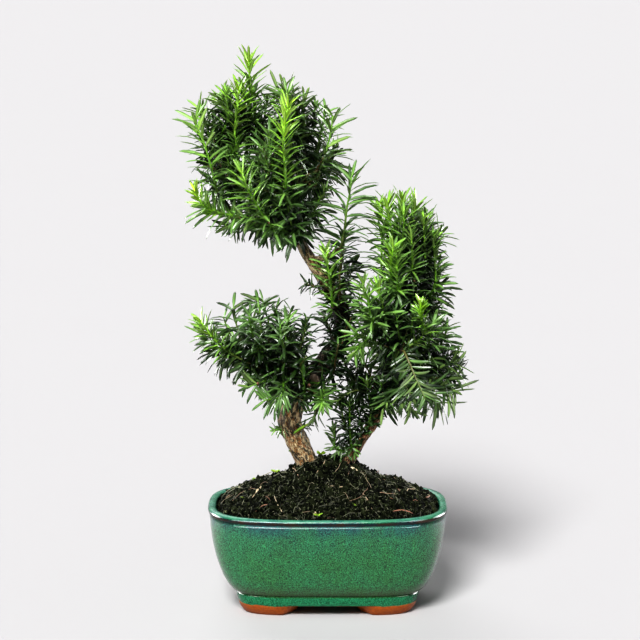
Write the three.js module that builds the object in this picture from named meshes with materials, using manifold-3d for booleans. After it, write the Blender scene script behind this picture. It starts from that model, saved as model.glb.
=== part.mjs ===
// Yew bonsai with two trunks in a glazed ceramic pot. Millimetres, +Z up, the front faces -Y.
// The origin is the middle of the plane that the pot's feet stand on.
import * as THREE from 'three';
import { mergeVertices } from 'three/addons/utils/BufferGeometryUtils.js';
import Module from 'manifold-3d';

const wasm = await Module();
wasm.setup();

// Pot: a rounded rectangle in plan, with a bellied wall over a straight base band and four bracket feet
const POT_WIDTH = 209;
const POT_DEPTH = 133;
const POT_HEIGHT = 90;
const RIM_SQUARENESS = 3.1;
const BASE_SQUARENESS = 5;
const POT_SIDES = 32;
const POT_WALL = 6.5;
const FOOT_HEIGHT = 9.5;
const BAND_TOP = 18;
const FLOOR_TOP = 17;
const LIP_HEIGHT = 5;
const BAND_SCALE = 0.755;
const CREASE_SCALE = 0.775;
const BELLY_SCALE = 0.985;
const BELLY_SWEEP = 1.8;
const BELLY_ROUNDING = 0.645;
const FOOT_THICKNESS = 13;
const FOOT_TOE_INSET = 5;
const FRONT_ARCH = { top: 25.5, bottom: 48.5 };
const SIDE_ARCH = { top: 17, bottom: 30 };
const DRAIN_RADIUS = 8;
const DRAIN_X = 38;

// Drainage screens: square plastic mesh that lies over each drain hole under the soil
const SCREEN_SIZE = 30;
const SCREEN_THICKNESS = 1.2;
const SCREEN_HOLES = 3;
const SCREEN_HOLE_SIZE = 6;

// Soil: fills the pot and is heaped over the roots
const SOIL_EDGE = 86;
const SOIL_SHOULDER = 25;
const SOIL_PEAK = 18;
const SOIL_PEAK_SPREAD = 0.37;
const SOIL_LUMP = 1.5;
const GAP = 0.3;

// Needles and the green stems that carry them
const NEEDLE_LENGTH = 24;
const NEEDLE_WIDTH = 2.5;
const NEEDLE_THICKNESS = 1;
const NEEDLE_BELLY = 0.4;
const NEEDLE_PITCH = 5.4;
const NEEDLE_CLEARANCE = 0.25;
const ROOT_DEPTH = 1.3;
const STEM_RADIUS = 1.2;
const STEM_SIDES = 4;
const STEM_STEPS = 2;
const FORK_HEIGHT = 4;
const TIP_REACH = 9;
const GOLDEN_ANGLE = 2.39996;
// Turns round the stem and changes of lean that a needle tries in order, to find a free place
const NEEDLE_TURNS = [
  [0, 0], [0.45, 0], [-0.45, 0], [0, -0.25], [0.8, -0.1], [-0.8, -0.1], [1.2, 0.1], [-1.2, 0.1],
  [0, 0.3], [1.7, 0], [-1.7, 0], [0.3, -0.4], [-0.3, -0.4],
];

// Trunks, each point as x, y, z and the radius there, from under the soil to the top
const TRUNKS = {
  left: [
    [-3, 3, 98, 8.5], [-14, 2, 115, 9.6], [-21, 0, 132, 9.4], [-28, -4, 148, 9.6], [-33, -6, 164, 10],
    [-29, -4, 180, 9.6], [-20, 2, 193, 9.4], [-7, 8, 207, 9], [5, 10, 223, 8], [12, 8, 241, 7.4],
    [11, 4, 260, 7], [3, 0, 277, 6.2], [-9, -2, 296, 5.2], [-21, 0, 315, 4.8], [-30, 2, 337, 4.4],
    [-42, 2, 358, 4], [-52, 0, 382, 3.2], [-56, 0, 403, 2.4], [-56, 0, 413, 1.7],
  ],
  right: [
    [0, 3, 99, 7], [13, 0, 116, 5.8], [21, -2, 132, 5.2], [30, -5, 148, 4.8], [39, -6, 161, 4.7],
    [46, -4, 176, 4.6], [51, -2, 194, 4.5], [57, 0, 211, 4.3], [64, 0, 231, 4.1], [68, 0, 253, 3.6],
    [70, 0, 274, 3.1], [67, -5, 290, 2.4], [62, -12, 299, 1.7],
  ],
};
const BURIED_POINTS = 5;
const TRUNK_SIDES = 7;
const TRUNK_ROUGHNESS = 0.16;
const STALK_RADIUS = 1.7;
const STALK_SIDES = 3;
const BRANCH_SIDES = 5;
const STALK_LEAN = 12;

// Branches, in the same form, each beginning inside the trunk or branch that it grows from
const BRANCHES = [
  [[-35, 2, 347, 3.4], [-56, -4, 355, 3], [-77, -6, 369, 2.6], [-90, -6, 387, 2.2], [-97, -7, 400, 1.7]],
  [[-30, 2, 339, 3], [-51, -4, 336, 2.7], [-68, -9, 341, 2.3], [-77, -13, 344, 1.8]],
  [[-38, 1, 352, 3], [-36, -20, 361, 2.7], [-37, -42, 370, 1.9]],
  [[-47, 0, 370, 3], [-29, -4, 372, 2.7], [-14, -8, 380, 2.2], [-8, -8, 384, 1.7]],
  [[-39, 2, 353, 3], [-45, 22, 356, 2.6], [-52, 42, 360, 1.9]],
  [[-53, 0, 385, 2.6], [-41, -3, 399, 2.3], [-32, -6, 413, 1.8]],
  [[-14, -1, 304, 2.8], [0, -12, 309, 2.4], [11, -23, 318, 1.8]],
  [[-27, -4, 184, 4.4], [-39, -6, 200, 3.8], [-56, -8, 211, 3.2], [-70, -12, 218, 2.6], [-77, -17, 221, 1.9]],
  [[-42, -6, 203, 2.8], [-47, 9, 205, 2.5], [-54, 22, 206, 1.8]],
  [[-23, 0, 189, 3], [-26, -14, 203, 2.6], [-34, -30, 217, 1.8]],
  [[58, 0, 215, 3], [74, -4, 215, 2.6], [88, -8, 215, 1.8]],
  [[61, 0, 222, 3], [64, -22, 230, 2.6], [63, -42, 233, 1.8]],
  [[65, 0, 234, 2.8], [66, 16, 240, 2.4], [67, 30, 248, 1.8]],
  [[68, 0, 262, 2.6], [79, -2, 264, 2.2], [85, -5, 267, 1.7]],
  [[64, 0, 231, 2.8], [57, -12, 244, 2.4], [51, -22, 257, 1.7]],
  [[50, -2, 192, 2.6], [41, -4, 191, 2.2], [33, -5, 194, 1.7]],
  [[11, 5, 252, 2.8], [8, -8, 260, 2.4], [4, -20, 267, 1.8]],
  [[3, 0, 277, 2.4], [-5, -9, 277, 1.7]],
  [[12, 8, 245, 2.6], [11, 21, 246, 1.8]],
];
const PRUNED_STUB = [[-5, 6, 204, 4.8], [-12, -9, 201, 4.5]];

// Sprays: where each leaves the wood, the furthest needle tip of its one or two shoots, the share
// of its needles that lie in two flat ranks, and whether it is this year's bright growth
const SPRAYS = {
  crown: [
    { base: [-56, 0, 418], tips: [[-67, -3, 489]], flat: 0, young: true },
    { base: [-76, -10, 409], tips: [[-76, -20, 462], [-94, 16, 450]], flat: 0, young: true },
    { base: [-99, -10, 405], tips: [[-111, -6, 440]], flat: 0, young: true },
    { base: [-92, -16, 386], tips: [[-127, -26, 431], [-111, -48, 414]], flat: 0.2, young: false },
    { base: [-80, -15, 345], tips: [[-119, -28, 371], [-113, -12, 336]], flat: 0.6, young: true },
    { base: [-45, -45, 360], tips: [[-74, -60, 398], [-56, -70, 422]], flat: 0, young: true },
    { base: [-34, -45, 376], tips: [[-35, -57, 453]], flat: 0, young: true },
    { base: [-28, -8, 418], tips: [[-20, -22, 455], [-39, 10, 459]], flat: 0, young: true },
    { base: [-6, -9, 387], tips: [[6, -13, 440], [19, -4, 413]], flat: 0, young: false },
    { base: [-24, -20, 342], tips: [[-3, -42, 360], [14, -20, 374]], flat: 0.4, young: false },
    { base: [-58, -12, 337], tips: [[-91, -20, 325], [-60, -38, 317]], flat: 0.6, young: false },
    { base: [-48, 45, 367], tips: [[-24, 52, 422], [-68, 52, 432]], flat: 0, young: true },
    { base: [-76, 24, 362], tips: [[-104, 46, 399], [-104, 54, 350]], flat: 0.2, young: false },
    { base: [-12, 12, 374], tips: [[14, 36, 400]], flat: 0.2, young: false },
    { base: [-50, 47, 354], tips: [[-24, 73, 366], [-70, 73, 378]], flat: 0, young: false },
    { base: [-26, 20, 336], tips: [[3, 54, 346]], flat: 0.4, young: false },
    { base: [-48, 30, 332], tips: [[-62, 62, 312]], flat: 0.5, young: false },
  ],
  middle: [
    { base: [12, -25, 322], tips: [[20, -32, 394]], flat: 0, young: true },
    { base: [4, -22, 271], tips: [[-3, -31, 324]], flat: 0, young: true },
    { base: [-8, -11, 278], tips: [[-28, -20, 290]], flat: 0.3, young: false },
    { base: [11, 7, 280], tips: [[26, 24, 304], [37, 4, 316]], flat: 0.2, young: false },
    { base: [11, 24, 248], tips: [[4, 52, 280]], flat: 0, young: false },
    { base: [-6, -20, 200], tips: [[-1, -54, 181]], flat: 0.2, young: true },
    { base: [17, -10, 141], tips: [[4, -18, 178], [22, -30, 170]], flat: 0, young: true },
    { base: [10, -6, 236], tips: [[4, -44, 216]], flat: 0.4, young: false },
  ],
  right: [
    { base: [61, -14, 303], tips: [[64, -18, 372], [41, 6, 359]], flat: 0, young: true },
    { base: [76, 4, 292], tips: [[87, 10, 348]], flat: 0, young: true },
    { base: [87, -6, 270], tips: [[103, -7, 312], [119, -16, 284]], flat: 0, young: true },
    { base: [69, -38, 243], tips: [[77, -52, 294]], flat: 0, young: true },
    { base: [49, -24, 260], tips: [[30, -62, 286], [24, -30, 272]], flat: 0, young: true },
    { base: [89, -9, 218], tips: [[126, -26, 214], [110, -8, 262], [125, -4, 238]], flat: 0.2, young: true },
    { base: [63, -46, 231], tips: [[87, -68, 190]], flat: 1, young: false },
    { base: [64, -22, 202], tips: [[90, -44, 171], [62, -42, 166]], flat: 0.7, young: false },
    { base: [84, -8, 208], tips: [[118, -18, 184], [104, -14, 168]], flat: 0.7, young: false },
    { base: [53, -26, 232], tips: [[20, -46, 241], [24, -28, 216]], flat: 0.3, young: false },
    { base: [53, -32, 264], tips: [[58, -50, 309]], flat: 0, young: true },
    { base: [31, -6, 195], tips: [[8, -18, 193]], flat: 0.4, young: false },
    { base: [35, -11, 155], tips: [[17, -20, 186]], flat: 0, young: true },
    { base: [69, 27, 263], tips: [[55, 42, 317], [95, 38, 317]], flat: 0, young: false },
    { base: [70, 33, 247], tips: [[82, 73, 271], [112, 44, 236]], flat: 0.1, young: true },
    { base: [61, 18, 213], tips: [[95, 42, 180], [44, 48, 172]], flat: 0.5, young: false },
    { base: [60, 24, 232], tips: [[36, 56, 256]], flat: 0.2, young: false },
  ],
  pad: [
    { base: [-79, -19, 222], tips: [[-118, -29, 262], [-86, -9, 274]], flat: 0.3, young: true },
    { base: [-57, -14, 226], tips: [[-60, -20, 287]], flat: 0, young: true },
    { base: [-41, -7, 225], tips: [[-43, -8, 277]], flat: 0, young: true },
    { base: [-64, -26, 232], tips: [[-69, -56, 270]], flat: 0, young: true },
    { base: [-36, -33, 221], tips: [[-40, -56, 262]], flat: 0, young: true },
    { base: [-27, -18, 212], tips: [[-6, -34, 240], [-16, -28, 264]], flat: 0.2, young: false },
    { base: [-73, -18, 214], tips: [[-107, -34, 216], [-86, -22, 186]], flat: 0.7, young: false },
    { base: [-36, -16, 195], tips: [[-55, -34, 178], [-68, -14, 172]], flat: 0.5, young: false },
    { base: [-56, 25, 208], tips: [[-71, 48, 248], [-101, 46, 221]], flat: 0.1, young: true },
    { base: [-49, 25, 203], tips: [[-30, 58, 232], [-66, 54, 168]], flat: 0.3, young: false },
    { base: [-40, -11, 158], tips: [[-57, -19, 151]], flat: 0.3, young: true },
  ],
};

const vector = (p) => new THREE.Vector3(p[0], p[1], p[2]);

// A repeatable number from 0 to 1 for a whole number and a salt
function chance(n, salt) {
  const wave = Math.sin(n * 127.1 + salt * 311.7) * 43758.5453;
  return wave - Math.floor(wave);
}

function solidFrom(vertices, triangles) {
  const mesh = new wasm.Mesh({
    numProp: 3,
    vertProperties: new Float32Array(vertices),
    triVerts: new Uint32Array(triangles),
  });
  return new wasm.Manifold(mesh);
}

// Turns a three.js geometry into a solid that can be joined and cut
function solidOf(geometry) {
  const bare = geometry.clone();
  bare.deleteAttribute('normal');
  bare.deleteAttribute('uv');
  const merged = mergeVertices(bare, 1e-4);
  return solidFrom(merged.attributes.position.array, merged.index.array);
}

// Joins rings of points, listed bottom to top and each anticlockwise from above, into a closed body
function loft(rings) {
  const count = rings[0].length;
  const vertices = rings.flat().flatMap((p) => [p.x, p.y, p.z]);
  const triangles = [];
  for (let r = 0; r < rings.length - 1; r++) {
    for (let i = 0; i < count; i++) {
      const a = r * count + i;
      const b = r * count + ((i + 1) % count);
      triangles.push(a, b, b + count, a, b + count, a + count);
    }
  }
  const last = (rings.length - 1) * count;
  for (let i = 1; i < count - 1; i++) {
    triangles.push(0, i + 1, i, last, last + i, last + i + 1);
  }
  return solidFrom(vertices, triangles);
}

// One level outline of the pot: |x/a|^n + |y/b|^n = 1, scaled and then drawn in by an inset.
// The base is squarer than the rim
function potRing(scale, z, inset = 0) {
  const a = (POT_WIDTH / 2) * scale - inset;
  const b = (POT_DEPTH / 2) * scale - inset;
  const rise = THREE.MathUtils.clamp(z / POT_HEIGHT, 0, 1);
  const squareness = THREE.MathUtils.lerp(BASE_SQUARENESS, RIM_SQUARENESS, rise);
  const ring = [];
  for (let i = 0; i < POT_SIDES; i++) {
    const turn = ((i + 0.5) / POT_SIDES) * Math.PI * 2;
    const x = Math.cos(turn);
    const y = Math.sin(turn);
    const power = Math.abs(x / a) ** squareness + Math.abs(y / b) ** squareness;
    const reach = power ** (-1 / squareness);
    ring.push(new THREE.Vector3(x * reach, y * reach, z));
  }
  return ring;
}

// The belly spreads quickly over the base band and slowly further up, and is upright at the lip
const BELLY_TOP = POT_HEIGHT - LIP_HEIGHT;
function bellyScale(z) {
  const rise = THREE.MathUtils.clamp((z - BAND_TOP - 1) / (BELLY_TOP - BAND_TOP - 1), 0, 1);
  const spread = (1 - (1 - rise) ** BELLY_SWEEP) ** BELLY_ROUNDING;
  return CREASE_SCALE + (BELLY_SCALE - CREASE_SCALE) * spread;
}

// Heights of the rings that the inside wall and the soil both follow
const INSIDE_LEVELS = [FLOOR_TOP, 26, 45, 80];
function insideRing(z, inset = 0) {
  const low = THREE.MathUtils.clamp((z - FLOOR_TOP) / 12, 0, 1);
  const scale = THREE.MathUtils.lerp(BAND_SCALE, bellyScale(z), low);
  return potRing(scale, z, POT_WALL + inset);
}

function archPrism(arch, depth) {
  const shape = new THREE.Shape();
  const half = (arch.bottom - arch.top) / 2;
  const knee = arch.top + half;
  shape.moveTo(-arch.bottom - 1, -2);
  shape.lineTo(-arch.bottom, 0);
  shape.quadraticCurveTo(-knee - half * 0.3, 0, -knee, FOOT_HEIGHT / 2);
  shape.quadraticCurveTo(-knee + half * 0.4, FOOT_HEIGHT, -arch.top, FOOT_HEIGHT);
  shape.lineTo(arch.top, FOOT_HEIGHT);
  shape.quadraticCurveTo(knee - half * 0.4, FOOT_HEIGHT, knee, FOOT_HEIGHT / 2);
  shape.quadraticCurveTo(knee + half * 0.3, 0, arch.bottom, 0);
  shape.lineTo(arch.bottom + 1, -2);
  const prism = new THREE.ExtrudeGeometry(shape, { depth, bevelEnabled: false, curveSegments: 3 });
  prism.translate(0, 0, -depth / 2);
  prism.rotateX(Math.PI / 2);
  return prism;
}

function buildPot() {
  const outside = [potRing(BAND_SCALE, FOOT_HEIGHT), potRing(BAND_SCALE + 0.015, BAND_TOP - 1)];
  for (const level of [19, 21.5, 28, 42, 62, BELLY_TOP]) {
    outside.push(potRing(bellyScale(level), level));
  }
  outside.push(potRing(1, BELLY_TOP + 1), potRing(1, POT_HEIGHT - 2));
  outside.push(potRing(1, POT_HEIGHT - 0.5, 1), potRing(1, POT_HEIGHT, 2.8));
  const inside = INSIDE_LEVELS.map((level) => insideRing(level));
  inside.push(potRing(1, POT_HEIGHT - 1.5, POT_WALL + 0.8), potRing(1, POT_HEIGHT - 0.4, POT_WALL - 0.6));
  inside.push(potRing(1, POT_HEIGHT + 1, POT_WALL - 2));
  let pot = loft(outside).subtract(loft(inside));

  const skirt = loft([
    potRing(BAND_SCALE, 0, FOOT_TOE_INSET),
    potRing(BAND_SCALE, FOOT_HEIGHT / 2, FOOT_TOE_INSET * 0.3),
    potRing(BAND_SCALE, FOOT_HEIGHT + 2, 0.4),
  ]);
  const hollow = loft([
    potRing(BAND_SCALE, -1, FOOT_TOE_INSET + FOOT_THICKNESS),
    potRing(BAND_SCALE, FOOT_HEIGHT + 3, FOOT_THICKNESS),
  ]);
  const frontArch = solidOf(archPrism(FRONT_ARCH, POT_DEPTH));
  const sideArch = solidOf(archPrism(SIDE_ARCH, POT_WIDTH).rotateZ(Math.PI / 2));
  pot = pot.add(skirt.subtract(hollow).subtract(frontArch).subtract(sideArch));

  for (const side of [-1, 1]) {
    const drain = new THREE.CylinderGeometry(DRAIN_RADIUS, DRAIN_RADIUS, FLOOR_TOP * 2, 16);
    drain.rotateX(Math.PI / 2);
    drain.translate(side * DRAIN_X, 0, FLOOR_TOP);
    pot = pot.subtract(solidOf(drain));
  }
  return pot;
}

function buildScreen(side) {
  const place = (shape) => solidOf(shape.translate(side * DRAIN_X, 0, FLOOR_TOP + GAP + SCREEN_THICKNESS / 2));
  let screen = place(new THREE.BoxGeometry(SCREEN_SIZE, SCREEN_SIZE, SCREEN_THICKNESS));
  const step = SCREEN_SIZE / SCREEN_HOLES;
  const middle = (SCREEN_HOLES - 1) / 2;
  for (let row = 0; row < SCREEN_HOLES; row++) {
    for (let column = 0; column < SCREEN_HOLES; column++) {
      const hole = new THREE.BoxGeometry(SCREEN_HOLE_SIZE, SCREEN_HOLE_SIZE, SCREEN_THICKNESS * 2);
      hole.translate((column - middle) * step, (row - middle) * step, 0);
      screen = screen.subtract(place(hole));
    }
  }
  return screen;
}

// Height of the heap: a broad shoulder falling to the rim, with a steeper peak round the trunks
function soilHeight(x, y, share) {
  const heap = SOIL_SHOULDER * (1 - share ** 3.2);
  const peak = SOIL_PEAK * Math.exp(-((share / SOIL_PEAK_SPREAD) ** 3));
  const lump = Math.sin(x * 0.31 + y * 0.17) * Math.cos(y * 0.37 - x * 0.11) + Math.sin(x * 0.13 - y * 0.23);
  return SOIL_EDGE + heap + peak + lump * SOIL_LUMP * (1 - share ** 4) * 0.6;
}

function buildSoil() {
  const rings = INSIDE_LEVELS.map((level) => insideRing(level, GAP * 1.6));
  rings[0].forEach((p) => p.setZ(FLOOR_TOP + GAP));
  const edge = insideRing(SOIL_EDGE, GAP * 1.6);
  rings.push(edge);
  for (const share of [0.94, 0.84, 0.72, 0.58, 0.44, 0.32, 0.22, 0.1]) {
    rings.push(edge.map((p) => {
      const x = p.x * share;
      const y = p.y * share;
      return new THREE.Vector3(x, y, soilHeight(x, y, share));
    }));
  }
  let soil = loft(rings);
  for (const side of [-1, 1]) {
    const size = SCREEN_SIZE + GAP * 2;
    const height = SCREEN_THICKNESS + GAP * 2;
    const recess = new THREE.BoxGeometry(size, size, height * 2);
    recess.translate(side * DRAIN_X, 0, FLOOR_TOP + GAP);
    soil = soil.subtract(solidOf(recess));
  }
  for (const points of Object.values(TRUNKS)) {
    const buried = limbFrom(points.slice(0, BURIED_POINTS), GAP * 1.4);
    soil = soil.subtract(limbSolid(buried, TRUNK_SIDES, TRUNK_ROUGHNESS));
  }
  return soil;
}

// Level directions across a path, each turned as little as it can be from the one before
function crossFrames(points, leaving) {
  const frames = [];
  let across = new THREE.Vector3(0, -1, 0.2);
  points.forEach((point, i) => {
    const before = points[Math.max(i - 1, 0)];
    const after = points[Math.min(i + 1, points.length - 1)];
    const last = i === points.length - 1;
    const along = last && leaving ? leaving.clone() : after.clone().sub(before).normalize();
    across = across.clone().addScaledVector(along, -across.dot(along)).normalize();
    frames.push({ along, across, other: along.clone().cross(across) });
  });
  return frames;
}

// Rings square to a path, each with its own radius. Rough shares the radius out unevenly
function ringsAlong(points, radii, sides, rough = 0, leaving = null) {
  const frames = crossFrames(points, leaving);
  return points.map((point, j) => {
    const ring = [];
    for (let i = 0; i < sides; i++) {
      const turn = (i / sides) * Math.PI * 2;
      const radius = radii[j] * (1 + rough * (chance(j * 17 + i, 3) - 0.5));
      const spoke = frames[j].across.clone().multiplyScalar(Math.cos(turn) * radius);
      ring.push(spoke.addScaledVector(frames[j].other, Math.sin(turn) * radius).add(point));
    }
    return ring;
  });
}

function limbSolid({ points, radii, leaving }, sides, rough = 0) {
  return loft(ringsAlong(points, radii, sides, rough, leaving));
}

function limbFrom(points, grow = 0) {
  return { points: points.map(vector), radii: points.map((p) => p[3] + grow), leaving: null };
}

// Straight stretches that stand for everything placed so far, for keeping needles clear of it
const placed = [];
function reserve(from, to, radius, owner, limb = null) {
  placed.push({ from, to, radius, owner, limb });
}

function segmentDistance(a, b, c, d) {
  const u = b.clone().sub(a);
  const v = d.clone().sub(c);
  const w = a.clone().sub(c);
  const uu = u.dot(u);
  const uv = u.dot(v);
  const vv = v.dot(v);
  const uw = u.dot(w);
  const vw = v.dot(w);
  const det = uu * vv - uv * uv;
  let s = det > 1e-9 ? THREE.MathUtils.clamp((uv * vw - vv * uw) / det, 0, 1) : 0;
  const t = THREE.MathUtils.clamp((uv * s + vw) / vv, 0, 1);
  s = THREE.MathUtils.clamp((uv * t - uw) / uu, 0, 1);
  return a.clone().addScaledVector(u, s).distanceTo(c.clone().addScaledVector(v, t));
}

function isClear(from, to, radius, owner) {
  return placed.every((other) => {
    if (other.owner === owner) return true;
    return segmentDistance(from, to, other.from, other.to) > radius + other.radius + NEEDLE_CLEARANCE;
  });
}

function nearestOnWood(point) {
  let best = { distance: Infinity };
  for (const stretch of placed) {
    const line = new THREE.Line3(stretch.from, stretch.to);
    const foot = line.closestPointToPoint(point, true, new THREE.Vector3());
    const distance = foot.distanceTo(point);
    if (distance < best.distance) best = { foot, distance, radius: stretch.radius, limb: stretch.limb };
  }
  return best;
}

// The line that a shoot grows along: it arches over when it hangs and sweeps up when it rises
function shootCurve(base, tip) {
  const span = tip.clone().sub(base);
  const level = Math.hypot(span.x, span.y);
  const bow = span.z < 0 ? 0.22 * level : -0.12 * level;
  const middle = base.clone().add(tip).multiplyScalar(0.5);
  middle.z += bow;
  return new THREE.QuadraticBezierCurve3(base, middle, tip);
}

// A needle is three-sided, with its root point buried in the stem, its belly and its tip point
function needle(root, heading, flatSide) {
  const along = heading.clone().normalize();
  const wide = flatSide.clone().addScaledVector(along, -flatSide.dot(along)).normalize();
  const thick = along.clone().cross(wide);
  const belly = root.clone().addScaledVector(heading, NEEDLE_BELLY);
  const corners = [
    belly.clone().addScaledVector(wide, NEEDLE_WIDTH / 2).addScaledVector(thick, -NEEDLE_THICKNESS / 2),
    belly.clone().addScaledVector(thick, NEEDLE_THICKNESS / 2),
    belly.clone().addScaledVector(wide, -NEEDLE_WIDTH / 2).addScaledVector(thick, -NEEDLE_THICKNESS / 2),
  ];
  const tip = root.clone().add(heading);
  const vertices = [root, ...corners, tip].flatMap((p) => [p.x, p.y, p.z]);
  return solidFrom(vertices, [0, 2, 1, 0, 3, 2, 0, 1, 3, 4, 1, 2, 4, 2, 3, 4, 3, 1]);
}

// A point on the stem's face that looks most nearly outwards, clear of the face's diagonal
function seatOnStem(rings, step, part, out) {
  const corners = rings[step].map((p, k) => p.clone().lerp(rings[step + 1][k], part));
  const middle = corners.reduce((sum, p) => sum.add(p), new THREE.Vector3()).divideScalar(corners.length);
  const across = part < 0.5 ? (1 + part) / 2 : part / 2;
  const seats = corners.map((p, k) => p.clone().lerp(corners[(k + 1) % corners.length], across));
  const facing = (p) => p.clone().sub(middle).dot(out);
  return seats.reduce((best, p) => (facing(p) > facing(best) ? p : best));
}

// Needles round one shoot in a spiral, or for the flat share in two ranks, turned aside or left out
// where another spray or the wood is in the way
function needlesOn({ points, rings }, spray, seed) {
  const needles = [];
  const length = points.slice(1).reduce((sum, p, j) => sum + p.distanceTo(points[j]), 0);
  const count = Math.round(length / NEEDLE_PITCH);
  for (let i = 0; i < count; i++) {
    const share = (i + 0.6) / count;
    const at = (0.1 + 0.88 * share) * STEM_STEPS;
    const step = Math.floor(at);
    const along = points[step + 1].clone().sub(points[step]).normalize();
    const side = along.clone().cross(new THREE.Vector3(0.1, -0.2, 1)).normalize();
    const up = side.clone().cross(along);
    const ranked = chance(i + seed, 1) < spray.flat;
    const rank = (i % 2) * Math.PI + (chance(i + seed, 2) - 0.5) * 0.7;
    const turn = ranked ? rank : i * GOLDEN_ANGLE + seed;
    const spread = (spray.young ? 0.95 : 1.15) - (spray.young ? 0.6 : 0.5) * share ** 2;
    const youngest = Math.max(share - 0.7, 0) / 0.3;
    const full = NEEDLE_LENGTH * (0.85 + 0.25 * chance(i + seed, 4)) * (1 - 0.35 * youngest);
    for (const [aside, lift] of NEEDLE_TURNS) {
      const angle = turn + aside;
      const lean = spread + lift;
      const out = side.clone().multiplyScalar(Math.cos(angle)).addScaledVector(up, Math.sin(angle));
      const heading = along.clone().multiplyScalar(Math.cos(lean)).addScaledVector(out, Math.sin(lean));
      heading.setLength(full);
      const seat = seatOnStem(rings, step, at - step, out);
      const root = seat.clone().addScaledVector(heading, -ROOT_DEPTH / full);
      const tip = root.clone().add(heading);
      if (isClear(seat, tip, NEEDLE_WIDTH / 2, spray.name)) {
        reserve(seat, tip, NEEDLE_WIDTH / 2, spray.name);
        needles.push(needle(root, heading, along.clone().cross(heading)));
        break;
      }
    }
  }
  return needles;
}

const trunks = Object.values(TRUNKS).map((points) => limbFrom(points));
const branches = BRANCHES.map((points) => limbFrom(points));
const stub = limbFrom(PRUNED_STUB);
for (const limb of [...trunks, ...branches, stub]) {
  const { points, radii } = limb;
  for (let i = 0; i < points.length - 1; i++) {
    reserve(points[i], points[i + 1], Math.max(radii[i], radii[i + 1]), 'wood', limb);
  }
}

// Each spray starts on a woody stalk from the nearest branch, whose end is square to the first shoot.
// Where the nearest wood is the free end of a branch, that branch is drawn out to carry the spray
const sprays = [];
const stalks = [];
for (const [region, list] of Object.entries(SPRAYS)) {
  list.forEach((spray, index) => {
    const name = `${region}_spray_${String(index + 1).padStart(2, '0')}`;
    let base = vector(spray.base);
    const growing = vector(spray.tips[0]).sub(base).normalize();
    const from = nearestOnWood(base.clone().addScaledVector(growing, -STALK_LEAN));
    const clear = from.radius + 3.5;
    if (base.distanceTo(from.foot) < clear) base = from.foot.clone().addScaledVector(growing, clear);
    const curves = spray.tips.map((tip) => shootCurve(base, vector(tip)));
    const first = curves[0].getTangent(0);
    const run = base.clone().sub(from.foot).normalize();
    const atFreeEnd = from.limb !== stub && from.foot.distanceTo(from.limb.points.at(-1)) < 1.5;
    if (atFreeEnd && !from.limb.leaving && run.dot(first) > 0.5) {
      from.limb.points.push(base);
      from.limb.radii.push(STALK_RADIUS);
      from.limb.leaving = first;
    } else {
      const points = [from.foot, base];
      if (run.dot(first) < 0.6) {
        points.splice(1, 0, base.clone().addScaledVector(first, -base.distanceTo(from.foot) * 0.4));
      }
      stalks.push({ points, radii: points.map(() => STALK_RADIUS), leaving: first });
    }
    sprays.push({ ...spray, name, base, foot: from.foot, curves, first, seed: sprays.length * 31 + 7 });
  });
}
for (const { foot, base } of sprays) {
  reserve(foot, base, STALK_RADIUS, 'wood');
}

for (const spray of sprays) {
  spray.stems = spray.curves.map((curve, i) => {
    const end = Math.max(1 - TIP_REACH / curve.getLength(), 0.5);
    const points = [];
    for (let j = 0; j <= STEM_STEPS; j++) {
      points.push(curve.getPoint((end * j) / STEM_STEPS));
    }
    points[0].addScaledVector(spray.first, i === 0 ? GAP * 1.3 : FORK_HEIGHT);
    for (let j = 0; j < STEM_STEPS; j++) {
      reserve(points[j], points[j + 1], STEM_RADIUS, spray.name);
    }
    const radii = points.map((p, j) => STEM_RADIUS * (1 - (0.45 * j) / STEM_STEPS));
    if (i > 0) radii[0] = STEM_RADIUS * 0.4;
    return { points, rings: ringsAlong(points, radii, STEM_SIDES) };
  });
}

for (const spray of sprays) {
  const parts = spray.stems.map(({ rings }) => loft(rings));
  spray.stems.forEach((stem, i) => {
    parts.push(...needlesOn(stem, spray, spray.seed + i * 13));
  });
  spray.solid = wasm.Manifold.union(parts);
}

function buildWood() {
  const parts = trunks.map((trunk) => limbSolid(trunk, TRUNK_SIDES, TRUNK_ROUGHNESS));
  parts.push(...branches.map((branch) => limbSolid(branch, BRANCH_SIDES)));
  parts.push(...stalks.map((stalk) => limbSolid(stalk, STALK_SIDES)));
  parts.push(limbSolid(stub, TRUNK_SIDES));
  return wasm.Manifold.union(parts);
}

const FINISHES = {
  glaze: { color: 0x2e8a5a, roughness: 0.25, metalness: 0 },
  mesh: { color: 0x222422, roughness: 0.6, metalness: 0 },
  compost: { color: 0x1c1a15, roughness: 0.95, metalness: 0 },
  bark: { color: 0x8c5a3c, roughness: 0.85, metalness: 0 },
  newGrowth: { color: 0x86c428, roughness: 0.45, metalness: 0 },
  oldNeedles: { color: 0x2a5f24, roughness: 0.4, metalness: 0 },
};

const bonsai = new THREE.Group();
function addPiece(name, solid, finish) {
  const { vertProperties, triVerts } = solid.getMesh();
  const geometry = new THREE.BufferGeometry();
  geometry.setAttribute('position', new THREE.BufferAttribute(vertProperties, 3));
  geometry.setIndex(new THREE.BufferAttribute(triVerts, 1));
  geometry.computeVertexNormals();
  const piece = new THREE.Mesh(geometry, new THREE.MeshStandardMaterial(FINISHES[finish]));
  piece.name = name;
  bonsai.add(piece);
}

addPiece('pot', buildPot(), 'glaze');
for (const [name, side] of [['drain_screen_left', -1], ['drain_screen_right', 1]]) {
  addPiece(name, buildScreen(side), 'mesh');
}
addPiece('soil', buildSoil(), 'compost');
addPiece('trunks_and_branches', buildWood(), 'bark');
for (const spray of sprays) {
  addPiece(spray.name, spray.solid, spray.young ? 'newGrowth' : 'oldNeedles');
}

export default bonsai;
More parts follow.
